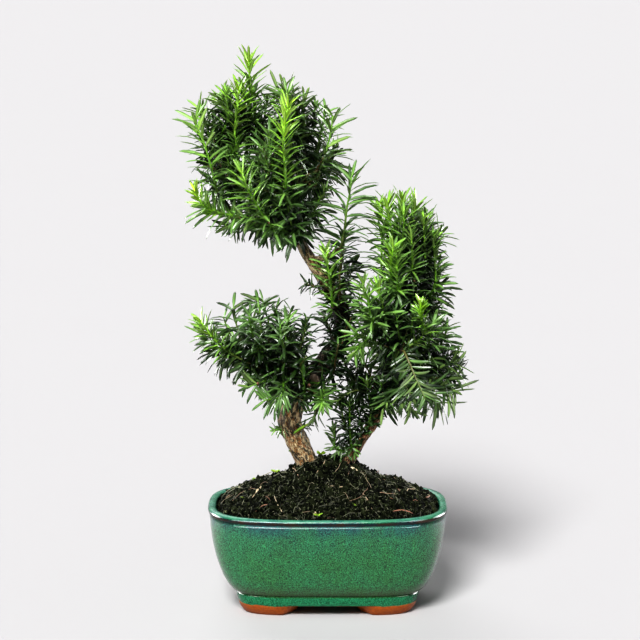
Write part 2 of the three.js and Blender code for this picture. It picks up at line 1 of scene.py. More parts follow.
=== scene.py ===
import bpy
import numpy as np
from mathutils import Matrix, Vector


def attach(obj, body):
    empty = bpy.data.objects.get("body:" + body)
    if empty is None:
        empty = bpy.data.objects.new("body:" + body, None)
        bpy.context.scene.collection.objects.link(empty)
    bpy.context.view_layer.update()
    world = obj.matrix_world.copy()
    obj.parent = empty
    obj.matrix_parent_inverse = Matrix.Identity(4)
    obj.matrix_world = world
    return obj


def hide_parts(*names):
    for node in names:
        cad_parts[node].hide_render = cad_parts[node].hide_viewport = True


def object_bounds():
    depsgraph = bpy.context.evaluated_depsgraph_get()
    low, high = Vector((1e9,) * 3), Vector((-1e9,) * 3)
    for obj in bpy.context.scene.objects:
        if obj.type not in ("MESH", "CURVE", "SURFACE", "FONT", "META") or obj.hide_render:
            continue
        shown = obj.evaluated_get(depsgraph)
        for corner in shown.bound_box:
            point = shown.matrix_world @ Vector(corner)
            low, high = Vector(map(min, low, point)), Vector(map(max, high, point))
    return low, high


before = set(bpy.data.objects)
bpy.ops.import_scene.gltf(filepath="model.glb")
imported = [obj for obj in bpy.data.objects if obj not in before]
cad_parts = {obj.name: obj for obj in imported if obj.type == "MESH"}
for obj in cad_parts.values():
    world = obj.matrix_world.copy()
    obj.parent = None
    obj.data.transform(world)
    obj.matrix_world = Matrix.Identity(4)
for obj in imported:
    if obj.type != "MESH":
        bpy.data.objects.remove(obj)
solid_box = [list(corner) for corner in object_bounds()]

# Pot: one piece of stoneware, pressed in a mould: a lip, a bellied wall, a straight base band and four
# bracket feet. It is dipped in a copper green glaze down to the feet, which stay bare clay. Its sizes and those
# of the other pieces are in millimetres.
MM = 0.001
POT_HALF_LENGTH = 104.5
POT_HALF_DEPTH = 66.5
POT_HEIGHT = 90.0
RIM_SQUARENESS = 3.1
BASE_SQUARENESS = 5.0
POT_WALL = 6.5
BAND_SCALE = 0.755
BAND_TOP = 18.0
CREASE_SCALE = 0.775
BELLY_SCALE = 0.985
BELLY_SWEEP = 1.8
BELLY_ROUNDING = 0.645
BELLY_TOP = 85.0
BEAD_RADIUS = 2.8
FLOOR_TOP = 17.0
FOOT_HEIGHT = 9.5
FOOT_THICKNESS = 13.0
SKIRT_TOP = 12.0
FRONT_ARCH = (25.5, 48.5)
SIDE_ARCH = (17.0, 30.0)
ARCH_LIFT = 0.7
ARCH_EASE = 0.12
DRAIN_RADIUS = 8.0
DRAIN_X = 38.0
DRILL_DEPTH = 30.0
DRILL_MIDDLE = 13.5
POT_COLUMNS = 224
# Heights on the pot, in metres, at which each change of the glaze starts and is full. A change that ends again
# also has the heights at which it is still full and has ended.
CREASE = (0.0168, 0.0188, 0.0195, 0.0300)
SOFT_SHEEN = (0.019, 0.024, 0.0820, 0.0840)
UNDER_LIP = (0.0828, 0.0842, 0.0852, 0.0858)
LIP_FACE = (0.0846, 0.0852, 0.0874, 0.0884)
STREAKS = (0.052, 0.0845)
WASH = (0.070, 0.0825)
WORN_EDGE = (0.0880, 0.0892)
BAND_EDGE = (0.0182, 0.0168)
BARE_EDGE = (0.0113, 0.0107)


def pot_outline(turn, scale, height, inset):
    """Points at the given turns on |x/a|^n + |y/b|^n = 1, where a and b are the pot's half sizes times scale
    less inset, and n falls from the base squareness to the rim squareness with height."""
    a = POT_HALF_LENGTH * scale - inset
    b = POT_HALF_DEPTH * scale - inset
    n = BASE_SQUARENESS + (RIM_SQUARENESS - BASE_SQUARENESS) * np.clip(height / POT_HEIGHT, 0, 1)
    x, y = np.cos(turn), np.sin(turn)
    reach = (np.abs(x / a) ** n + np.abs(y / b) ** n) ** (-1 / n)
    return np.stack(np.broadcast_arrays(x * reach, y * reach, height), axis=-1)


def belly_scale(height):
    """The outline's scale: with r the share of the belly's height, it grows by (1 - (1 - r)^sweep)^rounding,
    quickly over the crease and no more at the lip."""
    rise = np.clip((height - BAND_TOP - 1) / (BELLY_TOP - BAND_TOP - 1), 0, 1)
    return CREASE_SCALE + (BELLY_SCALE - CREASE_SCALE) * (1 - (1 - rise) ** BELLY_SWEEP) ** BELLY_ROUNDING


def ring_faces(rows, columns, wrap_rows=False):
    """Corner numbers of the quads between each ring of a grid and the next, the columns running round."""
    r = np.arange(rows if wrap_rows else rows - 1)[:, None]
    c = np.arange(columns)[None, :]
    above = (r + 1) % rows * columns
    here = r * columns
    after = (c + 1) % columns
    quads = np.stack(np.broadcast_arrays(here + c, here + after, above + after, above + c), axis=-1)
    return quads.reshape(-1, 4)


def mesh_piece(name, points, quads, triangles=(), smooth=True):
    """Makes an object at the origin from an array of points in millimetres and arrays of corner numbers."""
    points = np.asarray(points, dtype=np.float32).reshape(-1, 3) * MM
    quads = np.asarray(quads, dtype=np.int32).reshape(-1, 4)
    triangles = np.asarray(triangles, dtype=np.int32).reshape(-1, 3)
    starts = np.concatenate([np.arange(len(quads)) * 4, len(quads) * 4 + np.arange(len(triangles)) * 3])
    mesh = bpy.data.meshes.new(name)
    mesh.vertices.add(len(points))
    mesh.loops.add(quads.size + triangles.size)
    mesh.polygons.add(len(quads) + len(triangles))
    mesh.vertices.foreach_set("co", points.ravel())
    mesh.loops.foreach_set("vertex_index", np.concatenate([quads.ravel(), triangles.ravel()]))
    mesh.polygons.foreach_set("loop_start", starts.astype(np.int32))
    mesh.polygons.foreach_set("use_smooth", np.full(len(starts), smooth))
    mesh.update(calc_edges=True)
    mesh.validate()
    piece = bpy.data.objects.new(name, mesh)
    bpy.context.scene.collection.objects.link(piece)
    return piece


def capped_tube(rings):
    """Points and faces of a closed body: rings of an (r, c, 3) array joined in order, each end closed by a fan
    from the middle of its ring."""
    rows, columns = rings.shape[:2]
    points = np.concatenate([rings.reshape(-1, 3), rings[:1].mean(axis=1), rings[-1:].mean(axis=1)])
    c = np.arange(columns)
    after = (c + 1) % columns
    last = (rows - 1) * columns
    first_fan = np.stack([after, c, np.full(columns, rows * columns)], axis=-1)
    last_fan = np.stack([last + c, last + after, np.full(columns, rows * columns + 1)], axis=-1)
    return points, ring_faces(rows, columns), np.concatenate([first_fan, last_fan])


def joined(parts):
    """One set of points, quads and triangles from several, with the corner numbers moved up."""
    points, quads, triangles, first = [], [], [], 0
    for part_points, part_quads, part_triangles in parts:
        points.append(np.reshape(part_points, (-1, 3)))
        quads.append(np.reshape(part_quads, (-1, 4)) + first)
        triangles.append(np.reshape(part_triangles, (-1, 3)) + first)
        first += len(points[-1])
    return np.concatenate(points), np.concatenate(quads), np.concatenate(triangles)


# Each row of the wall is its scale, height and inset: from under the floor up the outside, over the bead of
# the lip, down the inside and over the floor
turn = np.arange(POT_COLUMNS) / POT_COLUMNS * 2 * np.pi
belly_levels = BAND_TOP + 1 + (BELLY_TOP - BAND_TOP - 1) * np.linspace(0, 1, 34) ** 1.6
wall = [(0.30, FOOT_HEIGHT, 0), (0.60, FOOT_HEIGHT, 0), (BAND_SCALE, FOOT_HEIGHT, 1.0)]
wall += [(BAND_SCALE, FOOT_HEIGHT + 0.3, 0.25), (BAND_SCALE, FOOT_HEIGHT + 1.0, 0)]
wall += [(BAND_SCALE + 0.008, 13, 0), (BAND_SCALE + 0.016, 16.2, 0), (BAND_SCALE + 0.018, 17.2, 0.1)]
wall += [(BAND_SCALE + 0.018, 17.9, 0.4), (BAND_SCALE + 0.018, 18.3, 0.5), (CREASE_SCALE, 18.7, 0.3)]
wall += [(float(belly_scale(z)), float(z), 0) for z in belly_levels]
bead = np.radians(np.linspace(-55, 90, 12))
bead_middle = POT_HEIGHT - BEAD_RADIUS
wall += [(1, float(bead_middle + BEAD_RADIUS * np.sin(a)), float(BEAD_RADIUS * (1 - np.cos(a)))) for a in bead]
wall += [(1, POT_HEIGHT, 4.0), (1, 89.8, 5.2), (1, 89.3, 6.2), (1, 88.5, 7.0), (1, 87.2, 7.5)]
wall += [(BELLY_SCALE, 84, POT_WALL)]
wall += [(float(belly_scale(z)), float(z), POT_WALL) for z in (78, 70, 60, 48, 38, 30, 26)]
wall += [(BAND_SCALE + 0.02, 21, POT_WALL), (BAND_SCALE, 18.2, POT_WALL + 1)]
wall += [(BAND_SCALE, FLOOR_TOP, POT_WALL + 4), (0.60, FLOOR_TOP, 0), (0.30, FLOOR_TOP, 0)]
bowl = np.stack([pot_outline(turn, scale, height, inset) for scale, height, inset in wall])

# The feet are a skirt under the band, cut up into an arch on each side: its lower edge follows the arches.
# Each row of its section is the share of the way down and the inset
skirt_line = pot_outline(turn, BAND_SCALE, 0.0, 0)
across_front = np.clip((FRONT_ARCH[1] - np.abs(skirt_line[:, 0])) / (FRONT_ARCH[1] - FRONT_ARCH[0]), 0, 1)
across_side = np.clip((SIDE_ARCH[1] - np.abs(skirt_line[:, 1])) / (SIDE_ARCH[1] - SIDE_ARCH[0]), 0, 1)
into_arch = np.clip((np.maximum(across_front, across_side) - ARCH_EASE) / (1 - 2 * ARCH_EASE), 0, 1)
lower_edge = (FOOT_HEIGHT + ARCH_LIFT) * into_arch**2 * (3 - 2 * into_arch)
skirt_profile = [(0, 0.6), (0.2, 0.5), (0.45, 1.1), (0.7, 2.6), (0.88, 4.2), (0.97, 5.0), (1, 6.2)]
skirt_profile += [(1, FOOT_THICKNESS + 3.4), (0.97, FOOT_THICKNESS + 4.4), (0.5, FOOT_THICKNESS + 2)]
skirt_profile += [(0, FOOT_THICKNESS)]
skirt = np.stack([pot_outline(turn, BAND_SCALE, 0.0, inset) for _, inset in skirt_profile])
skirt[:, :, 2] = SKIRT_TOP + (lower_edge - SKIRT_TOP) * np.array([down for down, _ in skirt_profile])[:, None]

pot = mesh_piece("glazed_pot", *capped_tube(bowl))
feet = mesh_piece("pot_feet", skirt, ring_faces(*skirt.shape[:2], wrap_rows=True)[:, ::-1])

for side in (-1, 1):
    place = (side * DRAIN_X * MM, 0, DRILL_MIDDLE * MM)
    bpy.ops.mesh.primitive_cylinder_add(
        vertices=48, radius=DRAIN_RADIUS * MM, depth=DRILL_DEPTH * MM, location=place)
    drill = bpy.context.object
    hole = pot.modifiers.new("drain", "BOOLEAN")
    hole.object = drill
    hole.operation = "DIFFERENCE"
    hole.solver = "EXACT"
    with bpy.context.temp_override(object=pot, active_object=pot, selected_objects=[pot]):
        bpy.ops.object.modifier_apply(modifier=hole.name)
    bpy.data.objects.remove(drill)


def new_material(name):
    """A material of one Principled shader on its output; returns the material, its tree and the shader."""
    material = bpy.data.materials.new(name)
    material.use_nodes = True
    tree = material.node_tree
    tree.nodes.clear()
    shader = tree.nodes.new("ShaderNodeBsdfPrincipled")
    output = tree.nodes.new("ShaderNodeOutputMaterial")
    tree.links.new(shader.outputs["BSDF"], output.inputs["Surface"])
    return material, tree, shader


def feed(tree, node, **inputs):
    """Gives each named input of a node a value or a link. Spaces in an input's name are written as underscores,
    and numbered inputs as in_0, in_1."""
    for key, value in inputs.items():
        socket = node.inputs[int(key[3:])] if key.startswith("in_") else node.inputs[key.replace("_", " ")]
        if isinstance(value, bpy.types.NodeSocket):
            tree.links.new(value, socket)
        else:
            socket.default_value = value


def add_node(tree, kind, settings=None, **inputs):
    """Adds a node, sets its properties and feeds its inputs."""
    node = tree.nodes.new("ShaderNode" + kind)
    for key, value in (settings or {}).items():
        setattr(node, key, value)
    feed(tree, node, **inputs)
    return node


def ramp(tree, value, stops):
    """A colour ramp over a value: each stop is its place from 0 to 1 and its red, green and blue."""
    node = add_node(tree, "ValToRGB", Fac=value)
    elements = node.color_ramp.elements
    while len(elements) < len(stops):
        elements.new(0.5)
    for element, (place, colour) in zip(elements, stops):
        element.position = place
        element.color = (*colour, 1)
    return node.outputs["Color"]


def blend(tree, factor, first, second):
    """Mixes two colours, each a socket or its red, green and blue, by a factor."""
    first, second = [c if isinstance(c, bpy.types.NodeSocket) else (*c, 1) for c in (first, second)]
    return add_node(tree, "Mix", {"data_type": "RGBA"}, in_0=factor, in_6=first, in_7=second).outputs[2]


def within(tree, value, low, high):
    """0 where the value is at or under low, 1 at or over high, and a straight ramp between."""
    node = add_node(tree, "MapRange", {"clamp": True}, Value=value, From_Min=low, From_Max=high)
    return node.outputs["Result"]


def maths(tree, operation, first, second):
    """One sum of two values."""
    return add_node(tree, "Math", {"operation": operation}, in_0=first, in_1=second).outputs[0]


def times(tree, first, second):
    """The product of two values."""
    return maths(tree, "MULTIPLY", first, second)


def plus(tree, first, second):
    """The total of two values."""
    return maths(tree, "ADD", first, second)


def between(tree, value, edges):
    """The product of two ramps over a value: 0 up to the first of four edges, 1 from the second to the third,
    and 0 again from the fourth."""
    start, full, still_full, end = edges
    return times(tree, within(tree, value, start, full), within(tree, value, end, still_full))


def make_mottle_group():
    """Soft patches of two sizes: the sum of a coarse and a fine noise of the given scale, stretched to a mask
    that is 0 below Low and 1 above High."""
    group = bpy.data.node_groups.new("mottle", "ShaderNodeTree")
    for name, kind in (("Vector", "Vector"), ("Scale", "Float"), ("Low", "Float"), ("High", "Float")):
        group.interface.new_socket(name, in_out="INPUT", socket_type="NodeSocket" + kind)
    group.interface.new_socket("Mask", in_out="OUTPUT", socket_type="NodeSocketFloat")
    given = group.nodes.new("NodeGroupInput").outputs
    result = group.nodes.new("NodeGroupOutput").inputs
    coarse = add_node(group, "TexNoise", Vector=given["Vector"], Scale=given["Scale"], Detail=4.0)
    fine_scale = times(group, given["Scale"], 3.7)
    fine = add_node(group, "TexNoise", Vector=given["Vector"], Scale=fine_scale, Detail=2.0)
    total = plus(group, times(group, coarse.outputs[0], 0.65), times(group, fine.outputs[0], 0.35))
    mask = within(group, total, given["Low"], given["High"])
    group.links.new(mask, result["Mask"])
    return group


mottle_group = make_mottle_group()


def mottle(tree, vector, scale, low, high):
    """The mottle group placed in a material with its own values."""
    node = add_node(tree, "Group", {"node_tree": mottle_group}, Vector=vector, Scale=scale, Low=low, High=high)
    return node.outputs["Mask"]


def object_place(tree, stretch=(1, 1, 1)):
    """Object coordinates, each axis multiplied by its own factor."""
    place = add_node(tree, "TexCoord").outputs["Object"]
    return add_node(tree, "Mapping", Vector=place, Scale=stretch).outputs["Vector"]


def height_of(tree):
    """Height over the plane of the feet, in metres."""
    place = add_node(tree, "TexCoord").outputs["Object"]
    return add_node(tree, "SeparateXYZ", Vector=place).outputs["Z"]


def make_glaze():
    """Copper green glaze: finely speckled, mossier where it pooled, blue green in a wash and in runs under the
    lip, brown and blue black on the lip's face, worn lighter on its edge and olive in the crease, with a soft
    sheen over the belly. The feet and the underside are bare orange clay up to a wavy edge."""
    material, tree, shader = new_material("glaze")
    place = object_place(tree)
    height = height_of(tree)
    speckle = mottle(tree, place, 1350.0, 0.455, 0.565)
    pool = mottle(tree, place, 34.0, 0.40, 0.62)
    green = blend(tree, speckle, (0.001, 0.030, 0.012), (0.036, 0.280, 0.100))
    mossy = blend(tree, speckle, (0.001, 0.032, 0.008), (0.040, 0.236, 0.060))
    green = blend(tree, times(tree, pool, 0.8), green, mossy)
    runs = mottle(tree, object_place(tree, (1, 1, 0.10)), 95.0, 0.36, 0.60)
    runs = times(tree, times(tree, runs, within(tree, height, *STREAKS)), 0.45)
    patches = mottle(tree, object_place(tree, (1, 1, 0.6)), 26.0, 0.40, 0.60)
    wash = times(tree, within(tree, height, *WASH), plus(tree, times(tree, patches, 0.8), 0.2))
    teal = blend(tree, speckle, (0.001, 0.018, 0.032), (0.008, 0.136, 0.142))
    green = blend(tree, times(tree, maths(tree, "MAXIMUM", runs, wash), 0.92), green, teal)
    band_teal = blend(tree, speckle, (0.001, 0.058, 0.024), (0.024, 0.272, 0.122))
    green = blend(tree, within(tree, height, *BAND_EDGE), green, band_teal)
    green = blend(tree, times(tree, between(tree, height, CREASE), 0.7), green, (0.036, 0.052, 0.010))
    iron = mottle(tree, object_place(tree, (0.5, 0.5, 1)), 120.0, 0.44, 0.58)
    lip_colour = blend(tree, iron, (0.001, 0.010, 0.018), (0.034, 0.008, 0.002))
    green = blend(tree, times(tree, between(tree, height, LIP_FACE), 0.92), green, lip_colour)
    worn = times(tree, mottle(tree, place, 150.0, 0.25, 0.55), within(tree, height, *WORN_EDGE))
    green = blend(tree, times(tree, worn, 0.7), green, (0.100, 0.320, 0.205))
    clay_grain = mottle(tree, place, 500.0, 0.35, 0.7)
    clay = blend(tree, clay_grain, (0.22, 0.044, 0.0), (0.40, 0.100, 0.001))
    edge_wave = add_node(tree, "TexNoise", Vector=place, Scale=90.0).outputs[0]
    bare = within(tree, plus(tree, height, times(tree, edge_wave, 0.003)), *BARE_EDGE)
    rough = plus(tree, plus(tree, times(tree, bare, 0.45), 0.07), times(tree, speckle, 0.05))
    rough = plus(tree, rough, times(tree, between(tree, height, UNDER_LIP), 0.4))
    relief = add_node(tree, "Bump", Strength=0.12, Distance=0.0006, Height=speckle).outputs[0]
    sheen = times(tree, between(tree, height, SOFT_SHEEN), 0.6)
    feed(tree, shader, Base_Color=blend(tree, bare, green, clay), Roughness=rough, Normal=relief,
         Specular_IOR_Level=0.5, Coat_Weight=sheen, Coat_Roughness=0.45, Coat_IOR=1.6)
    return material


glaze = make_glaze()
for piece in (pot, feet):
    piece.data.materials.append(glaze)
    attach(piece, "root")
    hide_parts("pot")

# Drainage screens: two squares of black plastic mesh, cut from a roll and laid over the drain holes inside the
# pot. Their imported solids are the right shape, so they stay and only get their finish.
screen_plastic, tree, shader = new_material("screen_plastic")
scuff = mottle(tree, object_place(tree), 400.0, 0.4, 0.7)
scuffed_black = blend(tree, scuff, (0.012, 0.013, 0.012), (0.045, 0.045, 0.042))
feed(tree, shader, Base_Color=scuffed_black, Roughness=within(tree, scuff, -1.2, 2.0))
for name in ("drain_screen_left", "drain_screen_right"):
    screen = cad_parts[name]
    screen.data.materials.clear()
    screen.data.materials.append(screen_plastic)

# Soil: damp black compost with bark crumbs, heaped round the trunks and pressed down to the rim, full of loose
# root threads and pale fibres.
SOIL_EDGE = 86.0
SOIL_SHOULDER = 22.5
SOIL_PEAK = 19.5
SOIL_PEAK_SPREAD = 0.37
SOIL_WAVE = 0.9
SOIL_INSET = POT_WALL + 0.35
SOIL_COLUMNS = 300
# Lumps on the heap: their height, size and the number that starts their noise
SOIL_LUMPS = [(1.6, 14.0, 7), (3.4, 7.5, 1), (2.8, 3.8, 2), (1.2, 1.9, 3)]
CRUMBS = 3800
THREADS = 150
THREAD_POINTS = 9
FLECKS = 1500
FIBRE_SIDES = 4
FLECK_TAPER = np.array([0.7, 1, 0.9, 0.4])
LAID_TAPER = np.array([0.4, 0.8, 1, 1, 0.9, 0.7, 0.35])
# Single roots and chips that lie on the heap: start, middle and end (x, y), lift, half width, tone
LAID_BITS = [
    (-62, -23, -60, -19, -58, -13, 0.6, 1.5, 1.0), (19, -12, 22, -11, 26, -13, 0.4, 1.3, 1.0),
    (-13, -53, -11, -53, -8, -52, 0.4, 1.2, 0.95), (69, -22, 71, -9, 77, -3, 2.5, 0.45, 0.95),
    (-65, -30, -63, -24, -61, -18, 1.0, 0.5, 0.95), (-46, -37, -42, -47, -37, -55, 0.8, 0.45, 0.98),
    (-62, -48, -56, -44, -50, -44, 0.8, 0.6, 0.78), (-60, 14, -54, 20, -48, 23, 3.0, 0.4, 0.5),
    (86, -8, 89, 4, 90, 12, 1.2, 0.9, 0.78), (-32, 1, -27, -14, -24, -24, 1.0, 0.35, 0.9),
    (2, -28, 10, -29, 19, -27, 0.8, 0.4, 0.92), (28, -30, 34, -42, 38, -50, 0.8, 0.35, 0.9),
    (56, -49, 64, -46, 73, -46, 0.8, 0.7, 0.76), (-2, -10, -5, -15, -10, -19, 1.0, 0.45, 0.9),
    (-78, 10, -84, 18, -90, 14, 3.0, 0.4, 0.45), (-74, -4, -80, 6, -88, 8, 2.5, 0.5, 0.4),
]

rng = np.random.default_rng(41)


def cloud(place, cell, salt):
    """Smooth noise from -1 to 1: a number is drawn for each corner of a lattice of the given cell by a sine
    hash, and the eight corners round a point are mixed with smoothstep weights."""
    grid = np.asarray(place) / cell + salt * 17.31
    corner = np.floor(grid)
    part = grid - corner
    part = part * part * (3 - 2 * part)
    total = 0
    for dx in (0, 1):
        for dy in (0, 1):
            for dz in (0, 1):
                at = corner + np.array([dx, dy, dz])
                wave = np.sin(at[..., 0] * 127.1 + at[..., 1] * 311.7 + at[..., 2] * 74.7) * 43758.5453
                weight = np.prod(np.abs(1 - np.array([dx, dy, dz]) - part), axis=-1)
                total = total + (wave - np.floor(wave)) * weight
    return total * 2 - 1


def soil_height(x, y, share):
    """A broad shoulder that falls to the rim, a steeper peak round the trunks, and long low waves."""
    heap = SOIL_SHOULDER * (1 - share**3.2)
    peak = SOIL_PEAK * np.exp(-((share / SOIL_PEAK_SPREAD) ** 3))
    wave = np.sin(x * 0.31 + y * 0.17) * np.cos(y * 0.37 - x * 0.11) + np.sin(x * 0.13 - y * 0.23)
    return SOIL_EDGE + heap + peak + wave * SOIL_WAVE * (1 - share**4)


def soil_edge(turn):
    """The outline of the soil where it meets the pot's inside wall."""
    return pot_outline(turn, belly_scale(SOIL_EDGE), SOIL_EDGE, SOIL_INSET)


def on_soil(turn, share):
    """Points on the smooth heap at a turn round its middle and a share of the way out to its edge."""
    edge = soil_edge(turn)
    x, y = edge[..., 0] * share, edge[..., 1] * share
    return np.stack([x, y, soil_height(x, y, share)], axis=-1)


soil_turn = np.arange(SOIL_COLUMNS) / SOIL_COLUMNS * 2 * np.pi
shares = np.concatenate([np.linspace(0.02, 0.9, 84), np.linspace(0.91, 1, 12)])
heap = on_soil(soil_turn[None, :], shares[:, None])
crumble = sum(height * cloud(heap, size, salt) for height, size, salt in SOIL_LUMPS)
heap[:, :, 2] += crumble * np.minimum(1, (1.03 - shares)[:, None] * 12)
side_wall = [pot_outline(soil_turn, belly_scale(z), z, SOIL_INSET) for z in (80.0, 60.0, 40.0, 26.0)]
side_wall.append(pot_outline(soil_turn, BAND_SCALE, FLOOR_TOP + 1.4, SOIL_INSET + 4.5))
soil_rings = np.concatenate([heap, np.stack(side_wall)])[::-1]
soil = mesh_piece("soil_heap", *capped_tube(soil_rings))


def turned(points, count):
    """The same small shape at count random turns, from random unit quaternions."""
    q = rng.normal(size=(count, 4))
    q /= np.linalg.norm(q, axis=1, keepdims=True)
    w, x, y, z = q.T
    rows = [1 - 2 * (y * y + z * z), 2 * (x * y - w * z), 2 * (x * z + w * y), 2 * (x * y + w * z),
            1 - 2 * (x * x + z * z), 2 * (y * z - w * x), 2 * (x * z - w * y), 2 * (y * z + w * x),
            1 - 2 * (x * x + y * y)]
    turns = np.stack(rows, axis=-1).reshape(count, 3, 3)
    return np.einsum("nij,kj->nki", turns, points)


def copies(base_faces, base_points, count):
    """Corner numbers of count copies of a shape that has base_points points."""
    first = np.arange(count)[:, None, None] * base_points
    return (base_faces[None] + first).reshape(-1, base_faces.shape[1])


def mark(piece, name, values, kind="FLOAT", domain="POINT", field="value"):
    """Keeps values as a named attribute of a piece, for its material to read."""
    values = np.asarray(values, dtype=bool if kind == "BOOLEAN" else np.float32)
    piece.data.attributes.new(name, kind, domain).data.foreach_set(field, values.ravel())


crumb_turn = np.arange(6) / 6 * 2 * np.pi
crumb_rise = np.array([-0.62, 0.1, 0.72])[:, None]
crumb_girth = np.sqrt(1 - crumb_rise**2)
crumb_rings = np.stack(np.broadcast_arrays(
    np.cos(crumb_turn) * crumb_girth, np.sin(crumb_turn) * crumb_girth * 0.8, crumb_rise * 0.75), axis=-1)
crumb_points, crumb_quads, crumb_fans = capped_tube(crumb_rings)
crumb_turns = rng.uniform(0, 2 * np.pi, CRUMBS)
crumb_shares = np.sqrt(rng.uniform(0, 1, CRUMBS)) * 0.985
crumb_size = 0.7 + 3.3 * rng.uniform(0, 1, CRUMBS) ** 2.0
crumb_places = on_soil(crumb_turns, crumb_shares) + np.array([0, 0, 0.9])
crumb_bodies = turned(crumb_points, CRUMBS) * (1 + 0.28 * rng.normal(size=(CRUMBS, len(crumb_points), 1)))
crumb_bodies = crumb_bodies * crumb_size[:, None, None] + crumb_places[:, None, :]
crumbs = mesh_piece("soil_crumbs", crumb_bodies, copies(crumb_quads, len(crumb_points), CRUMBS),
                    copies(crumb_fans, len(crumb_points), CRUMBS), smooth=False)
mark(crumbs, "tone", np.repeat(rng.uniform(0, 1, CRUMBS) ** 3, len(crumb_points)))


def tubes(paths, radii, sides):
    """Rings square to each of many paths at once: paths is (n, s, 3) and radii (n, s). The first spoke of a
    ring is the world axis that its path follows least, made square to the path."""
    along = np.gradient(paths, axis=1)
    along /= np.linalg.norm(along, axis=-1, keepdims=True) + 1e-9
    least = np.argmin(np.abs(along.mean(axis=1)), axis=1)
    spoke = np.eye(3)[least][:, None, :]
    spoke = spoke - along * np.sum(spoke * along, axis=-1, keepdims=True)
    spoke /= np.linalg.norm(spoke, axis=-1, keepdims=True)
    other = np.cross(along, spoke)
    turn = np.arange(sides) / sides * 2 * np.pi
    ring = spoke[:, :, None, :] * np.cos(turn)[:, None] + other[:, :, None, :] * np.sin(turn)[:, None]
    return paths[:, :, None, :] + ring * radii[:, :, None, None]


def tube_faces(count, rows, sides):
    """Faces of count closed tubes, each end closed by a fan from its first corner."""
    quads = copies(ring_faces(rows, sides), rows * sides, count)
    i = np.arange(1, sides - 1)
    last = (rows - 1) * sides
    near = np.stack([np.zeros_like(i), i + 1, i], axis=-1)
    far = np.stack([np.full_like(i, last), last + i, last + i + 1], axis=-1)
    return quads, copies(np.concatenate([near, far]), rows * sides, count)


def fibre_paths(count, length, steps, wander, low_share, high_share, lift):
    """Wandering lines on the heap: each starts at a random place, keeps its heading but for random turns, and
    lies on the soil with a lift that comes and goes along it."""
    start_turn = rng.uniform(0, 2 * np.pi, count)
    share = rng.uniform(low_share**2, high_share**2, count) ** 0.5
    start = on_soil(start_turn, share)[:, :2]
    heading = rng.uniform(0, 2 * np.pi, (count, 1)) + np.cumsum(rng.normal(0, wander, (count, steps)), axis=1)
    step = length[:, None] / (steps - 1)
    x = start[:, :1] + np.cumsum(np.cos(heading) * step, axis=1)
    y = start[:, 1:] + np.cumsum(np.sin(heading) * step, axis=1)
    around = np.arctan2(y, x)
    edge = np.linalg.norm(soil_edge(around)[..., :2], axis=-1)
    reach = np.hypot(x, y) / edge
    held = np.minimum(reach, 0.97) / np.maximum(reach, 1e-6)
    x, y, reach = x * held, y * held, np.minimum(reach, 0.97)
    z = soil_height(x, y, reach)
    t = np.linspace(0, 1, steps)[None, :]
    arch = np.sin(np.pi * t * rng.uniform(0.6, 2.2, (count, 1)) + rng.uniform(0, 1.5, (count, 1)))
    return np.stack([x, y, z + 0.4 + lift[:, None] * arch], axis=-1)


def laid_line(bits):
    """Lines through the three points of each laid bit, as quadratic curves whose control point is twice the
    middle less the mean of the ends; they lie on the soil, lifted by the bit's own lift."""
    t = np.linspace(0, 1, len(LAID_TAPER))[:, None]
    start, middle, end = np.moveaxis(bits[:, :6].reshape(-1, 3, 1, 2), 1, 0)
    flat = start * (1 - t) ** 2 + (2 * middle - (start + end) / 2) * 2 * t * (1 - t) + end * t**2
    around = np.arctan2(flat[..., 1], flat[..., 0])
    reach = np.linalg.norm(flat, axis=-1) / np.linalg.norm(soil_edge(around)[..., :2], axis=-1)
    top = soil_height(flat[..., 0], flat[..., 1], np.minimum(reach, 1)) + bits[:, 6:7] + 1.6
    return np.concatenate([flat, top[..., None]], axis=-1)


thread_length = rng.uniform(10, 46, THREADS)
thread_lift = rng.uniform(0.8, 4.4, THREADS)
thread_paths = fibre_paths(THREADS, thread_length, THREAD_POINTS, 0.46, 0.05, 0.97, thread_lift)
thread_girth = rng.uniform(0.14, 0.34, THREADS)[:, None] * np.linspace(1, 0.4, THREAD_POINTS)
fleck_length = rng.uniform(3, 13, FLECKS)
fleck_lift = rng.uniform(1.2, 3.8, FLECKS)
fleck_paths = fibre_paths(FLECKS, fleck_length, len(FLECK_TAPER), 0.5, 0.0, 0.99, fleck_lift)
fleck_girth = rng.uniform(0.14, 0.42, FLECKS)[:, None] * FLECK_TAPER
laid = np.array(LAID_BITS, dtype=float)
fibre_parts = [
    (tubes(paths, girth, FIBRE_SIDES), *tube_faces(*paths.shape[:2], FIBRE_SIDES))
    for paths, girth in ((thread_paths, thread_girth), (fleck_paths, fleck_girth),
                         (laid_line(laid), laid[:, 7:8] * LAID_TAPER))
]
threads = mesh_piece("root_threads", *joined(fibre_parts))
thread_tone = 0.15 + 0.85 * rng.uniform(0, 1, THREADS) ** 1.6
fleck_tone = 0.50 * rng.uniform(0, 1, FLECKS) ** 1.3
fibre_points = [part[0][0].size // 3 for part in fibre_parts]
mark(threads, "tone", np.repeat(np.concatenate([thread_tone, fleck_tone, laid[:, 8]]),
                                np.repeat(fibre_points, [THREADS, FLECKS, len(laid)])))


